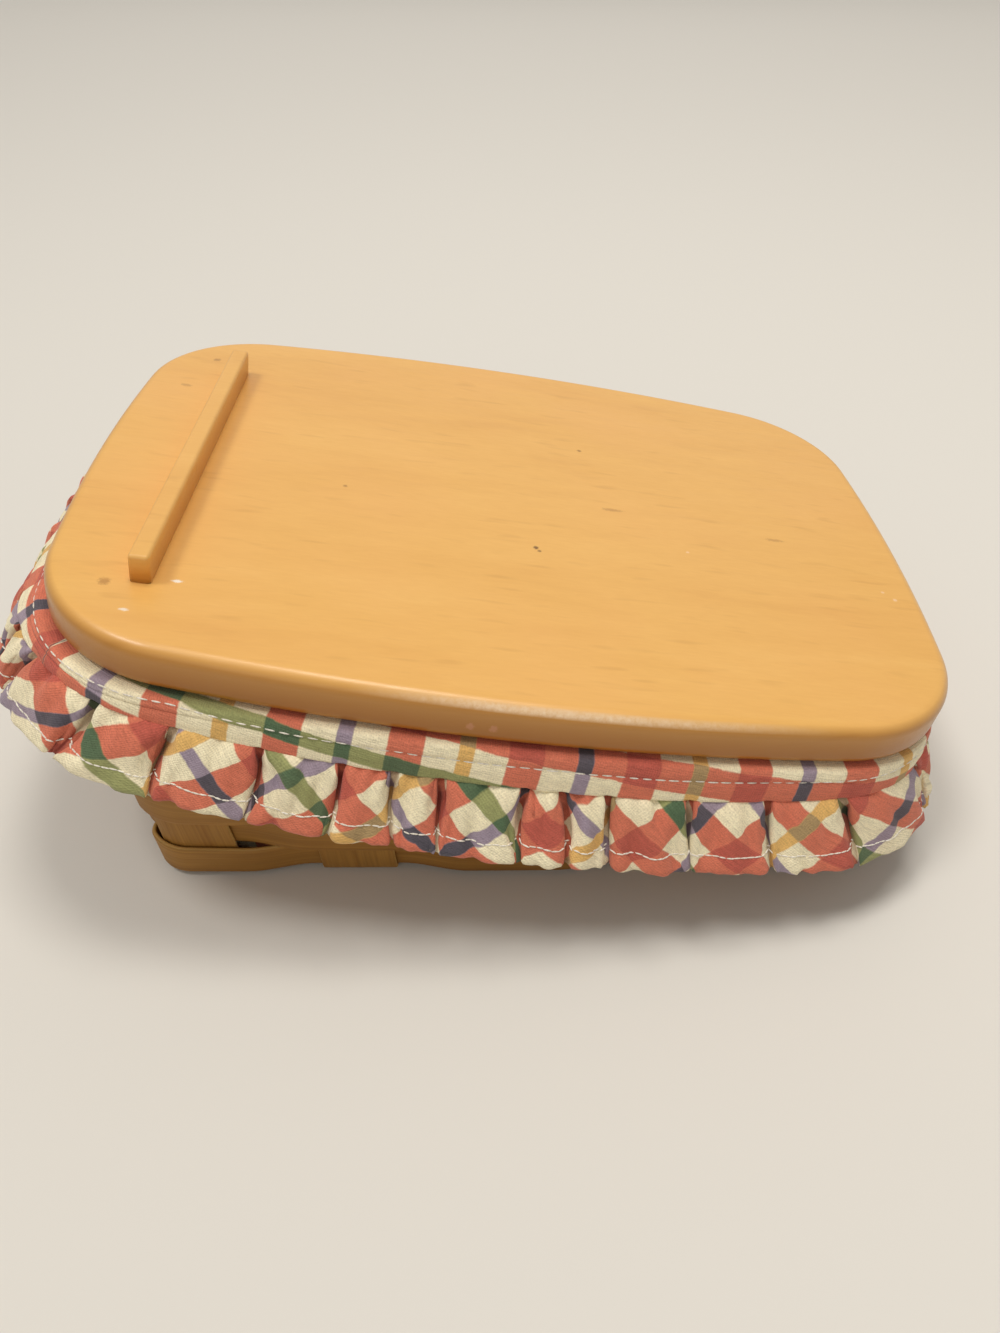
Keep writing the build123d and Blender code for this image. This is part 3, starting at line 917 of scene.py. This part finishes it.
def build_ledge():
    """The strip across the lid, a squared stick whose edges are eased, except round its foot."""
    piece = new_piece("lid_strip", np.zeros((0, 3)))
    work = bmesh.new()
    bmesh.ops.create_cube(work, size=1.0)
    for vertex in work.verts:
        x, y, z = vertex.co
        place = lid_place(
            LEDGE_FROM_HIGH_END - LID["length"] / 2 + x * LEDGE["thickness"] + (y + 0.5) * LEDGE_SKEW,
            LEDGE_ACROSS + y * LEDGE["length"],
            LID_THICKNESS + (z + 0.5) * LEDGE["height"],
        )
        vertex.co = Vector(place * MM)
    origin, up = Vector(lid_origin * MM), Vector(rim_up)
    low = (LID_THICKNESS + 1) * MM
    eased = [e for e in work.edges if any((v.co - origin).dot(up) >= low for v in e.verts)]
    bmesh.ops.bevel(
        work, geom=eased, offset=LEDGE["rounding"] * MM, segments=4, affect="EDGES", profile=0.5
    )
    bmesh.ops.recalc_face_normals(work, faces=work.faces[:])
    work.to_mesh(piece.data)
    work.free()
    set_values(piece, "edge", np.zeros(len(piece.data.vertices)))
    piece.data.shade_smooth()
    piece.data.materials.append(maple)
    weighted = piece.modifiers.new("flat faces", "WEIGHTED_NORMAL")
    weighted.keep_sharp = True
    return piece


# Stakes and weavers

EDGE_STEPS = np.array([0.0, 0.05, 0.16, 0.32, 0.5])


def across_steps(half, inner):
    """Places across a splint, close together at its rounded edges, and its fullness at each."""
    edge = half - EDGE_STEPS
    full = np.sqrt(1 - (1 - EDGE_STEPS / 0.5) ** 2)
    middle = np.linspace(-edge[-1], edge[-1], inner)[1:-1]
    places = np.concatenate([-edge, middle, edge[::-1]])
    return places, np.concatenate([full, np.ones(len(middle)), full[::-1]])


def splint_uv(points, lead):
    """Flat coordinates of a splint: the distance along it, and the place across it."""
    middle = points[:, points.shape[1] // 2]
    along = run_lengths(np.linalg.norm(np.diff(middle, axis=0), axis=1)) + lead
    across = np.linalg.norm(points - points[:, :1], axis=2)
    return np.stack([np.broadcast_to(along[:, None], across.shape), across + lead], axis=2)


def crossings(height):
    """Where weavers meet stakes, once round from the far side: (first, last, is cross, index)."""
    found = []
    hold = STAKE_HALF + WEAVER_HOLD
    for start in (FAR_SIDE, HIGH_END, NEAR_SIDE, LOW_END):
        is_cross = start in (FAR_SIDE, NEAR_SIDE)
        places = list(enumerate(CROSS_PLACES if is_cross else LONG_PLACES))
        if start in (FAR_SIDE, HIGH_END):
            places.reverse()
        for index, place in places:
            middle = fanned(place, height)
            edges = (
                find_turn(0 if is_cross else 1, middle + half, height, start)
                for half in (-hold, hold)
            )
            found.append((*sorted(edges), is_cross, index))
    return found


def weaver_path(row, height):
    """Way of a row round the wall: (turn, swing off the wall), straight over each stake."""
    met = crossings(height)
    path = []
    for here, following in zip(met, met[1:] + met[:1]):
        first, last, is_cross, index = here
        swing = LAYER if (index + row + (not is_cross)) % 2 == 0 else -LAYER
        path += [(first + (last - first) * k / HELD_STEPS, swing) for k in range(HELD_STEPS)]
        onward = following[0] if following[0] > last else following[0] + 8
        steps = CORNER_STEPS if following[2] != is_cross else SWING_STEPS
        for share in (k / steps for k in range(steps)):
            path.append((last + (onward - last) * share, swing * cos(pi * share)))
    return path


def build_weaver(row, bottom, chance):
    """One level row, woven in and out of the stakes and trimmed to the slant under the rim."""
    middle = bottom + WEAVER_HEIGHT / 2
    places, full = across_steps(WEAVER_HEIGHT / 2, 6)
    sway = chance.uniform(-0.12, 0.12, 4)
    points = np.array(
        [
            [
                wall_point(turn, height + sway[0] * sin(turn * pi / 2 + sway[1] * 20), swing)
                for height in middle + places
            ]
            for turn, swing in weaver_path(row, middle)
        ]
    )
    uv = splint_uv(np.concatenate([points, points[:1]]), GRAIN_LEAD * (row + 1))
    fullness = np.broadcast_to(full, points.shape[:2])
    piece = grid_piece(f"woven_row_{row + 1}", points, uv, fullness, True)
    thicken(piece, splint_wood, SPLINT, unevenness=0.12, uneven_size=12.0, seed=row)
    trim_at_rim(piece)
    return piece


def trim_at_rim(piece):
    """Cuts a piece off square at the slant, just under the rim's top, and closes the cut."""
    work = bmesh.new()
    work.from_mesh(piece.data)
    bmesh.ops.bisect_plane(
        work,
        geom=work.verts[:] + work.edges[:] + work.faces[:],
        plane_co=Vector((rim_origin - TRIM * rim_up) * MM),
        plane_no=Vector(rim_up),
        clear_outer=True,
    )
    open_edges = [e for e in work.edges if e.is_boundary]
    if open_edges:
        bmesh.ops.holes_fill(work, edges=open_edges)
    work.to_mesh(piece.data)
    work.free()


def stake_wall(axis, place, step, start, level):
    """Points of one column of a stake, from the trimmed top down to where it bends."""

    def at(height, halvings):
        return wall_point(find_turn(axis, fanned(place, height) + step, height, start, halvings), height)

    def is_under_rim(height):
        below = np.array(at(height, halvings=16)) - (rim_origin - TRIM * rim_up)
        return np.dot(below, rim_up) < 0

    top = halved(low=10.0, high=90.0, is_low=is_under_rim, halvings=18)
    bend = level + SPLINT / 2 + STAKE_BEND
    heights = [top + (bend - top) * k / WALL_STEPS for k in range(WALL_STEPS + 1)]
    return [at(height, halvings=20) for height in heights]


def floor_level(at, crossed, levels):
    """Height of a floor strip: flat at each crossing, easing from one level to the next between."""
    for here, after, low, high in zip(crossed, crossed[1:], levels, levels[1:]):
        if here <= at <= after:
            share = (at - here - STAKE_HALF) / (after - here - 2 * STAKE_HALF)
            share = min(max(share, 0.0), 1.0)
            return low + (high - low) * (1 - cos(pi * share)) / 2
    return levels[0] if at < crossed[0] else levels[-1]


def stake_foot(axis, place, start, level, near):
    """Bend of one column between the wall and the floor, from the wall inwards."""
    side = 1 - axis
    height = level + SPLINT / 2
    corner = np.array(wall_point(find_turn(axis, place, height, start, 20), height))
    inner = corner.copy()
    inner[side] -= STAKE_BEND * np.sign(corner[side])
    return [
        (1 - q) ** 2 * np.array(near) + 2 * q * (1 - q) * corner + q * q * inner
        for q in (0.25, 0.5, 0.75, 1.0)
    ]


def build_stake(name, is_cross, index, chance):
    """One splint: down one wall, woven across the floor and up the other wall."""
    axis, side = (0, 1) if is_cross else (1, 0)
    place = (CROSS_PLACES if is_cross else LONG_PLACES)[index]
    crossed = LONG_PLACES if is_cross else CROSS_PLACES
    starts = (FAR_SIDE, NEAR_SIDE) if is_cross else (LOW_END, HIGH_END)
    is_over = index % 2 == (0 if is_cross else 1)
    levels = [LAYER if (is_over + k) % 2 == 1 else 0.0 for k in range(len(crossed))]
    places, full = across_steps(STAKE_HALF, 8)
    columns = []
    for step in places:
        walls, feet = [], []
        for start, level in zip(starts, (levels[-1], levels[0])):
            wall = stake_wall(axis, place, step, start, level)
            walls.append(wall)
            feet.append(stake_foot(axis, place + step, start, level, wall[-1]))
        begin, end = feet[0][-1][side], feet[1][-1][side]
        floor = []
        for k in range(1, FLOOR_STEPS):
            at = begin + (end - begin) * k / FLOOR_STEPS
            point = [0.0, 0.0, SPLINT / 2 + floor_level(at, crossed, levels)]
            point[axis], point[side] = place + step, at
            floor.append(point)
        columns.append(walls[0] + feet[0] + floor + feet[1][::-1] + walls[1][::-1])
    points = np.array(columns, dtype=float).transpose(1, 0, 2)
    # Rows 30 to 33 lie on the floor, where the grid has to face down
    if np.mean(sheet_normals(points, False)[30:34, :, 2]) > 0:
        points, full = points[:, ::-1], full[::-1]
    fullness = np.broadcast_to(full, points.shape[:2]).copy()
    fullness[0] = fullness[-1] = 0.0
    piece = grid_piece(name, points, splint_uv(points, chance.uniform(50, 900)), fullness, False)
    seed = index + 20 * is_cross
    return thicken(piece, splint_wood, SPLINT, unevenness=0.08, uneven_size=15.0, seed=seed)


# Liner


def smooth_step(value):
    value = np.clip(value, 0, 1)
    return value * value * (3 - 2 * value)


def liner_line(distances, offset, drop, slope, corner_offset, corner_drop, high_offset):
    """Offset and drop of the seam or the hem at distances round the rim."""
    lengths = arc_lengths(rim_outline)
    corners = [sum(lengths[:i]) + lengths[i] / 2 for i in (1, 3, 5, 7)]
    away = [np.abs((distances - place + rim_girth / 2) % rim_girth - rim_girth / 2) for place in corners]
    corner = np.exp(-((np.min(away, axis=0) / CORNER_REACH) ** 2))
    flat, normal = walk(rim_outline, distances)
    high = np.maximum(-normal[..., 0], 0) ** 6
    return (
        offset + corner_offset * corner + high_offset * high,
        drop + slope * flat[..., 0] / 100 + corner_drop * corner,
    )


# Creases on the near side, left to right: distance round the rim, and drift by the hem
CREASES = [
    (425.5, -5.0), (434.0, -5.0), (450.5, -5.0), (466.5, -4.0), (484.0, -1.8),
    (501.5, -1.7), (512.5, 1.0), (522.5, 0.6), (540.5, 1.3), (548.5, 3.0),
    (558.5, 2.9), (577.0, 2.4), (595.0, 4.5), (612.5, 5.5), (634.5, 5.0),
]

# What differs from crease to crease or from puff to puff, in millimetres. But groove and tuck are
# shares of half a puff, and pucker is an angle
FOLD_RANGES = dict(
    drift=(-3.5, 3.5), deep=(3.6, 4.8), hem=(0.9, 2.7), lean=(-1.8, 1.8), bow=(-1.2, 1.2),
    crown=(0.4, 1.1), groove=(-0.5, 0.5), tuck=(-0.55, 0.55), pucker=(0, 2 * pi), lift=(-0.4, 0.4),
)


def gather_folds():
    """Creases round the seam, as distances along the rim outline, and each crease's own shape."""
    chance = np.random.default_rng(11)
    at = CREASES[-1][0]
    hidden = rim_girth + CREASES[0][0] - at
    widths = []
    while sum(widths) < hidden - 8:
        widths.append(chance.uniform(10.0, 18.0))
    widths = np.array(widths) * hidden / sum(widths)
    creases = np.array([place for place, _ in CREASES] + list(at + np.cumsum(widths)[:-1]))
    shapes = {key: chance.uniform(*span, len(creases)) for key, span in FOLD_RANGES.items()}
    shapes["drift"][: len(CREASES)] = [drift for _, drift in CREASES]
    return creases, shapes


# Rows of the ruffle, from the seam to the hem
ROWS = 24

# Points of half a fold: its face, the turn into the crease, two on the crease's wall, and its floor.
# MIDDLE is the column in the middle of the face
FRONT = np.array([0.0, 0.12, 0.25, 0.38, 0.51, 0.64, 0.77, 0.89, 1.0])
TURN = np.radians([22.5, 45.0, 67.5, 90.0])
FLOOR_TURN = np.radians([45.0, 90.0])
MIDDLE = len(FRONT) + len(TURN) + 2 + len(FLOOR_TURN) - 1
COLUMNS = 2 * MIDDLE + 1

# The seam of the ruffle, tucked under the cuff, and its creases there
TUCKED_IN, TUCKED_UP, SEAM_CREASE = 0.7, 0.5, 0.9


def fold_section(half, gap, depth, crown):
    """Half a fold in section, from its middle to the bottom of its crease: along, and inward."""
    bottom = min(gap / 2, depth * 0.35)
    radius = min(2.2, 0.6 * (depth - crown * 0.3 - bottom))
    crown = min(crown, depth * 0.3)
    edge = half - gap / 2
    reach = edge - radius
    wall = depth - crown - radius - bottom
    along = [reach * FRONT, reach + radius * np.sin(TURN), [edge, edge], half - gap / 2 * np.cos(FLOOR_TURN)]
    inward = [
        crown * FRONT**2,
        crown + radius * (1 - np.cos(TURN)),
        [crown + radius + wall / 2, crown + radius + wall],
        depth - bottom + bottom * np.sin(FLOOR_TURN),
    ]
    return np.concatenate(along), np.concatenate(inward)


def puff_grid(k, after, ends, shapes, drop):
    """One puff, row by row: distance round the rim, depth, and how far down its crease that is."""
    along, inward, sunk = (np.zeros((ROWS, COLUMNS)) for _ in range(3))
    for r, t in enumerate(drop):
        start, stop = (
            end + shapes["drift"][c] * t + 4 * shapes["bow"][c] * t * (1 - t)
            for end, c in zip(ends, (k, after))
        )
        gap = 2.4 - 0.9 * smooth_step(t / 0.8)
        opened, closing = smooth_step(t / 0.36), smooth_step((t - 0.5) / 0.5)
        for side, crease in ((-1, k), (1, after)):
            deep = SEAM_CREASE + (shapes["deep"][crease] - SEAM_CREASE) * opened
            deep += (shapes["hem"][crease] - deep) * closing
            x, y = fold_section((stop - start) / 2, gap, deep, shapes["crown"][k])
            lean = shapes["lean"][crease] * opened * (x / x[-1]) * (1 - y / deep)
            half = slice(MIDDLE, None, side)
            along[r, half] = (start + stop) / 2 + side * x + lean
            inward[r, half] = y
            sunk[r, half] = y / deep
    return along, inward, sunk


def puff_wrinkles(k, off, half, shapes, drop):
    """Depth of the grooves that run down from the gathers, the tuck by the hem, and small ripples."""
    down = drop[:, None]
    groove, tuck = shapes["groove"][k], shapes["tuck"][k]
    depth = 0.34 * np.exp(-down / 0.24) * np.cos(3.3 * pi * off + shapes["pucker"][k])
    for place, size, reach in ((groove, 1.15, 0.5), (-0.8 * tuck - 0.1, 0.7, 0.3)):
        line = (off - place - 0.18 * down * np.sign(place)) * half / 1.3
        depth += size * np.exp(-(line**2) - (down / reach) ** 2)
    depth += 0.85 * np.exp(-(((off - tuck) * half / 1.4) ** 2)) * smooth_step((down - 0.3) / 0.6)
    return depth


def crumpled(uv, drop, hem_row, fronts):
    """Small creases of the cloth as a push along its normal, sharper where the hem is sewn."""
    chance = np.random.default_rng(23)
    u, v = uv[:-1, :, 0], uv[:-1, :, 1]
    crumple = np.zeros(u.shape)
    for _ in range(16):
        wave, tilt = chance.uniform(4.0, 12.0), chance.uniform(-0.6, 0.6)
        phase, size = chance.uniform(0, 2 * pi), chance.uniform(0.08, 0.21)
        crumple += size * np.sin(2 * pi * (u + tilt * v) / wave + phase)
    near_hem = np.exp(-(((drop - drop[hem_row]) / 0.16) ** 2))
    for wave, size in ((2.9, 0.09), (4.3, 0.11)):
        crumple += size * near_hem * np.sin(2 * pi * u / wave + 2 * np.sin(u / 17))
    return crumple * smooth_step(drop / 0.12) * (0.75 + 0.45 * drop) * (0.2 + 0.8 * fronts)


def build_ruffle(creases, shapes):
    """Gathered strip: broad flat puffs between narrow deep creases that open out to the hem."""
    drop = np.concatenate([[0.0, 0.015], np.linspace(0.045, 1, ROWS - 2) ** 0.95])
    down = drop[:, None]
    # A third of the flare comes straight below the seam, and the rest on the way to the hem
    flare = 0.34 * (1 - np.exp(-down * 8)) + 0.66 * down**1.1
    flare /= flare[-1]
    shown = np.zeros(COLUMNS - 1)
    shown[MIDDLE + 1 - len(FRONT) : MIDDLE - 1 + len(FRONT)] = 1.0
    blocks, fronts, crease_shade_rows, lengths = [], [], [], []
    cloth = 0.0
    for k in range(len(creases)):
        after = (k + 1) % len(creases)
        onward = creases[after] + (rim_girth if after == 0 else 0.0)
        width = onward - creases[k]
        along, inward, sunk = puff_grid(k, after, (creases[k], onward), shapes, drop)
        off = (along - along[:, MIDDLE : MIDDLE + 1]) / (width / 2)
        front = np.clip(1.25 - np.abs(off) ** 6 * 1.25, 0, 1)
        inner = inward + puff_wrinkles(k, off, width / 2, shapes, drop) * front
        inner[0] += 0.9
        seam_out, seam_down = liner_line(along, **SEAM)
        hem_out, hem_down = liner_line(along, **HEM)
        flat, normal = walk(rim_outline, along)
        out = seam_out - TUCKED_IN + (hem_out - seam_out + TUCKED_IN) * flare - inner
        short = 0.5 * (inward / 2.7) ** 2 + shapes["lift"][k] * (1 - off**2)
        fall = seam_down - TUCKED_UP + (hem_down - seam_down + TUCKED_UP) * down
        fall -= short * smooth_step(down / 0.9)
        points = slanted(rim_origin, flat + normal * out[..., None], -fall)
        blocks.append(points.transpose(1, 0, 2)[:-1])
        fronts.append(front.T[:-1])
        # Painted crease shade: how far down into its crease each point lies, less towards the hem
        crease_shade_rows.append((smooth_step((sunk - 0.3) / 0.6) * (1 - 0.45 * down)).T[:-1])
        row = ROWS // 2
        steps = np.hypot(np.diff(along[row]), np.diff(inward[row]))
        spare = RUFFLE_FULLNESS * width - np.sum(steps * shown)
        steps *= np.where(shown > 0, 1.0, spare / np.sum(steps * (1 - shown)))
        u = cloth + run_lengths(steps)
        lengths.append(u[:-1])
        cloth = u[-1]
    points, fronts = np.concatenate(blocks), np.concatenate(fronts)
    u = np.append(np.concatenate(lengths), cloth)
    uv = np.stack(np.broadcast_arrays(u[:, None], -drop * RUFFLE_CUT), axis=2)
    hem_row = int(np.argmin(np.abs((1 - drop) * RUFFLE_CUT - HEM_STITCH)))
    points = points + outward(points) * crumpled(uv, drop, hem_row, fronts)[..., None]
    fullness = np.ones((len(points), ROWS))
    fullness[:, hem_row + 1 : -1] = 1.2 + 0.4 * fronts[:, hem_row + 1 : -1]
    fullness[:, hem_row] = 0.85
    fullness[:, 0] = fullness[:, -1] = 0.0
    line = points[:, hem_row] + outward(points)[:, hem_row] * (CLOTH * 0.42)
    piece = grid_piece("liner_gathered_ruffle", points, uv, fullness, True)
    # The fold value carries the painted crease shade
    set_values(piece, "fold", np.concatenate(crease_shade_rows))
    thicken(piece, ruffle_cloth, CLOTH * 0.8, unevenness=0.3, uneven_size=6.0, seed=3)
    return piece, line, cloth


# Shares of the cuff's fall, from its fold down to the seam, at which its rows lie
CUFF_SHARES = (0.05, 0.11, 0.18, 0.26, 0.31, 0.36, 0.44, 0.54, 0.65, 0.76, 0.86, 0.93, 0.97, 1.0)


def line_at(heights, up, points):
    """Line along a sheet at heights above its lower edge, with one point for each column."""
    return np.array(
        [
            [np.interp(at, column[::-1], place[::-1, axis]) for axis in range(3)]
            for at, column, place in zip(heights, up, points)
        ]
    )


def build_cuff(creases):
    """Folded cuff: up out of the bag, over the rim bands, down to the seam with the ruffle."""
    count = 520
    distances = np.arange(count) * rim_girth / count
    away = (distances[:, None] - creases + rim_girth / 2) % rim_girth - rim_girth / 2
    pull = np.exp(-((np.min(np.abs(away), axis=1) / GATHER_REACH) ** 2))
    wave = distances / rim_girth * 2 * pi
    sag = 0.25 * np.sin(5 * wave + 0.6) + 0.15 * np.sin(13 * wave + 2.0)
    seam_out, seam_down = liner_line(distances, **SEAM)
    half = CLOTH / 2
    top = CUFF_RISE - half
    inside = [(BAG_OFFSET, -1.0), (BAG_OFFSET, top - 0.6), (BAG_OFFSET + 0.25, top - 0.15)]
    inside += [(BAG_OFFSET + 0.8, top)]
    inside += [(x, top) for x in np.linspace(BAG_OFFSET + 1.6, CUFF_TOP - 1.6, 5)]
    inside += [
        (CUFF_TOP + CUFF_ROUND * (sin(a) - 1), top + CUFF_ROUND * (cos(a) - 1))
        for a in np.linspace(0.2, pi / 2, 6)
    ]
    flat, normal = walk(rim_outline, distances)
    rows = [slanted(rim_origin, flat + normal * out, np.full(count, height)) for out, height in inside]
    begin = top - CUFF_ROUND
    stitched = (TOPSTITCH_DROP + begin) / (SEAM["drop"] + begin)
    for share in CUFF_SHARES:
        puff = 0.42 * sin(pi * min(max((share - stitched) / (1 - stitched), 0), 1)) ** 0.8
        puff += 0.22 * sin(pi * min(share / stitched, 1))
        puff -= 0.10 * np.exp(-(((share - stitched) / 0.05) ** 2))
        out = CUFF_TOP + (seam_out - half - CUFF_TOP) * share**0.9 + puff
        out += (0.3 * sag - 0.4 * pull * share**2) * share
        height = begin - (seam_down + begin) * share + (0.4 * sag + 0.25 * pull * share**3) * share
        rows.append(slanted(rim_origin, flat + normal * out[:, None], height))
    points = np.array(rows).transpose(1, 0, 2)
    fall = run_lengths(np.linalg.norm(np.diff(points, axis=1), axis=2), 1)
    up = fall[:, -1:] - fall
    up = np.concatenate([up, up[:1]])
    u = np.append(distances, rim_girth)
    uv = np.stack(np.broadcast_arrays(u[:, None] + CUFF_SKEW * up, up), axis=2)
    uv[(u > CUFF_JOINS[0]) & (u < CUFF_JOINS[1])] += CUFF_PIECE
    fullness = np.ones(points.shape[:2])
    fullness[:, -4:] = (1.35, 1.7, 1.4, 0.0)
    fullness[:, 0] = 0.0
    raised = points + outward(points) * (CLOTH * 0.45)
    stitched_up = np.minimum(TOPSTITCH_UP, up[:-1, len(inside) - 3])
    piece = grid_piece("liner_folded_cuff", points, uv, fullness, True)
    thicken(piece, cuff_cloth, CLOTH, unevenness=0.25, uneven_size=9.0, seed=5)
    return piece, line_at(stitched_up, up[:-1], raised)


def bag_walls(turns):
    """Soft walls of the bag, from the rim down to its floor, as rows of points."""
    phases = np.random.default_rng(4).uniform(0, 2 * pi, 6)
    rows = []
    for share in np.concatenate([np.linspace(0.985, 0.12, 22), np.linspace(0.1, 0.055, 3)]):
        soft = 0.22 * np.sin(9 * turns + 7 * share + phases[0]) + 0.16 * np.sin(23 * turns + phases[1])
        soft *= sin(pi * share) ** 0.5
        rows.append([wall_share(turn, share, BAG_OFFSET + push) for turn, push in zip(turns, soft)])
    return np.array(rows)


def build_bag():
    """Lining inside the basket: four soft walls sewn at the corners, and a flat floor."""
    count, sides = 320, 4
    turns = (np.arange(count) + 0.5) * 8 / count
    seam = np.round((turns - 1.5) / 2) * 2 + 1.5
    # The columns on either side of a corner's seam are drawn close to it
    turns = np.where(np.abs(turns - seam) < 0.02, seam + 0.0015 * np.sign(turns - seam), turns)
    walls = bag_walls(turns)
    middle = np.array((RIM_ORIGIN[0] * 0.05, 0.0, BAG_FLOOR))
    scales = np.array((0.985, 0.95, 0.8, 0.6, 0.4, 0.2, 0.05, 0.0))
    floors = middle + (walls[-1] - middle) * scales[:, None, None]
    floors[..., 2] = BAG_FLOOR + 0.1 * np.sin(floors[..., 0] / 9) * np.cos(floors[..., 1] / 11)
    points = np.concatenate([walls, floors]).transpose(1, 0, 2)
    closed = np.concatenate([points, points[:1]])
    around = run_lengths(np.linalg.norm(np.diff(closed, axis=0), axis=2))
    down = run_lengths(np.linalg.norm(np.diff(closed, axis=1), axis=2), 1)
    per_side = count // sides
    side = (np.arange(count + 1) - per_side * 3 // 4) // per_side
    middle_column = (side + 1) * per_side + per_side // 4
    lap = around[-1] * (middle_column // count)[:, None] + around[middle_column % count]
    uv = np.stack([around - lap + BAG_SIDE_SHIFT * (side % sides)[:, None], -down], axis=2)
    uv[:, len(walls) :] = closed[:, len(walls) :, :2]
    fullness = np.ones(points.shape[:2])
    fullness[:, 0] = 0.0
    piece = grid_piece("liner_soft_bag", points, uv, fullness, True)
    return thicken(piece, bag_cloth, CLOTH * 0.8, unevenness=0.3, uneven_size=20.0, seed=8)


def stitch_line(name, points, pitch, length, width, seed):
    """Thread dashes along a closed line of points."""
    count = len(points)
    piece = new_piece(name, points, [(i, (i + 1) % count) for i in range(count)])
    return run_nodes(
        piece,
        stitch_nodes,
        pitch=pitch * MM,
        thread_length=length * MM,
        thread_width=width * MM,
        seed=seed,
        material=thread,
    )


# Pieces on their bodies

for piece, node in ((build_lid(), "lid_board"), (build_ledge(), "lid_ledge")):
    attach(piece, "lid")
    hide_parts(node)

chance = np.random.default_rng(7)
row, bottom = 0, FIRST_WEAVER
while f"weaver_{row + 1}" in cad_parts:
    piece = build_weaver(row, bottom, chance)
    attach(piece, "basket")
    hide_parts(f"weaver_{row + 1}")
    row += 1
    bottom += WEAVER_HEIGHT + WEAVER_GAP

for is_cross, word, places in ((True, "cross", CROSS_PLACES), (False, "long", LONG_PLACES)):
    for index in range(len(places)):
        piece = build_stake(f"{word}_splint_{index + 1}", is_cross, index, chance)
        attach(piece, "basket")
        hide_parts(f"{word}_stake_{index + 1}")

creases, shapes = gather_folds()
ruffle, hem_line, ruffle_length = build_ruffle(creases, shapes)
cuff, cuff_line = build_cuff(creases)
bag = build_bag()
for piece, node in ((ruffle, "liner_ruffle"), (cuff, "liner_cuff"), (bag, "liner_bag")):
    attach(piece, "basket")
    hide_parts(node)

hem_stitches = stitch_line(
    "ruffle_hem_stitches", hem_line, pitch=1.7, length=1.9, width=0.4, seed=1
)
cuff_stitches = stitch_line(
    "cuff_topstitches", cuff_line, pitch=3.0, length=2.5, width=0.42, seed=2
)
for piece in (hem_stitches, cuff_stitches):
    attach(piece, "basket")

ruffle_length * MM

for node, material in (
    ("rim_outer_band", band_wood),
    ("rim_inner_band", band_wood),
    ("rim_tacks", tack_brass),
):
    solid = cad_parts[node]
    solid.data.materials.clear()
    solid.data.materials.append(material)


# Floor, light and camera


def build_stage(half=6000.0):
    """A pale floor, and a soft warm light from all round."""
    corners = [(-half, -half, 0), (half, -half, 0), (half, half, 0), (-half, half, 0)]
    floor = new_piece("studio_floor", corners, (), [(0, 1, 2, 3)])
    material, _, shader = new_material("pale floor", 0.8, Specular_IOR_Level=0.1)
    feed(shader, {"Base Color": srgb(226, 224, 219)})
    floor.data.materials.append(material)
    world = bpy.data.worlds.new("studio")
    world.use_nodes = True
    bpy.context.scene.world = world
    feed(world.node_tree.nodes["Background"], {"Color": (1.0, 0.94, 0.86, 1.0), "Strength": 0.38})


def add_lamp(name, kind, power, colour, place, target=(0, 0, 0), **settings):
    """Lamp that shines from a place at a target. Of a sun, the place gives only the direction."""
    data = bpy.data.lights.new(name, kind)
    data.energy, data.color = power, colour
    for label, value in settings.items():
        setattr(data, label, value)
    lamp = bpy.data.objects.new(name, data)
    lamp.location = place
    aim = Vector(target) - Vector(place)
    lamp.rotation_euler = aim.to_track_quat("-Z", "Y").to_euler()
    bpy.context.collection.objects.link(lamp)


# The camera: its sensor and lens in millimetres, its place in metres, and two of its directions
SENSOR_WIDTH = 36.0
FOCAL_LENGTH = 27.03
CAMERA_PLACE = (-0.0062, -0.2324, 0.2063)
CAMERA_FORWARD = (0.0085, 0.7623, -0.6472)
CAMERA_RIGHT = (1.0, -0.0111, 0.0)


def add_camera():
    """The photograph's view, from above the near side."""
    data = bpy.data.cameras.new("camera")
    data.sensor_width, data.lens = SENSOR_WIDTH, FOCAL_LENGTH
    data.clip_start = 0.01
    camera = bpy.data.objects.new("camera", data)
    forward = Vector(CAMERA_FORWARD).normalized()
    up = Vector(CAMERA_RIGHT).normalized().cross(forward).normalized()
    right = forward.cross(up).normalized()
    turn = Matrix((right, up, -forward)).transposed().to_4x4()
    camera.matrix_world = Matrix.Translation(CAMERA_PLACE) @ turn
    bpy.context.collection.objects.link(camera)
    bpy.context.scene.camera = camera


build_stage()

# Panels of light: power in watts, colour, then place, target, width and height in metres
for name, power, colour, place, target, width, height in (
    ("overhead", 5.5, (1.0, 0.95, 0.87), (0.1, 0.08, 1.25), (0, 0, 0.05), 0.45, 0.35),
    ("near fill", 0.9, (1.0, 0.94, 0.86), (-0.1, -1.1, 0.55), (0, 0, 0.04), 0.9, 0.5),
    ("far fill", 1.3, (1.0, 0.96, 0.9), (0.1, 1.4, 0.75), (0, 0, 0.05), 1.6, 0.8),
):
    add_lamp(
        name, "AREA", power, colour, place, target, shape="RECTANGLE", size=width, size_y=height
    )
add_lamp("window", "SUN", 0.95, (1.0, 0.96, 0.9), (-0.42, -0.1, 1.0), angle=radians(14.0))
add_camera()
bpy.context.scene.view_settings.view_transform = "Standard"
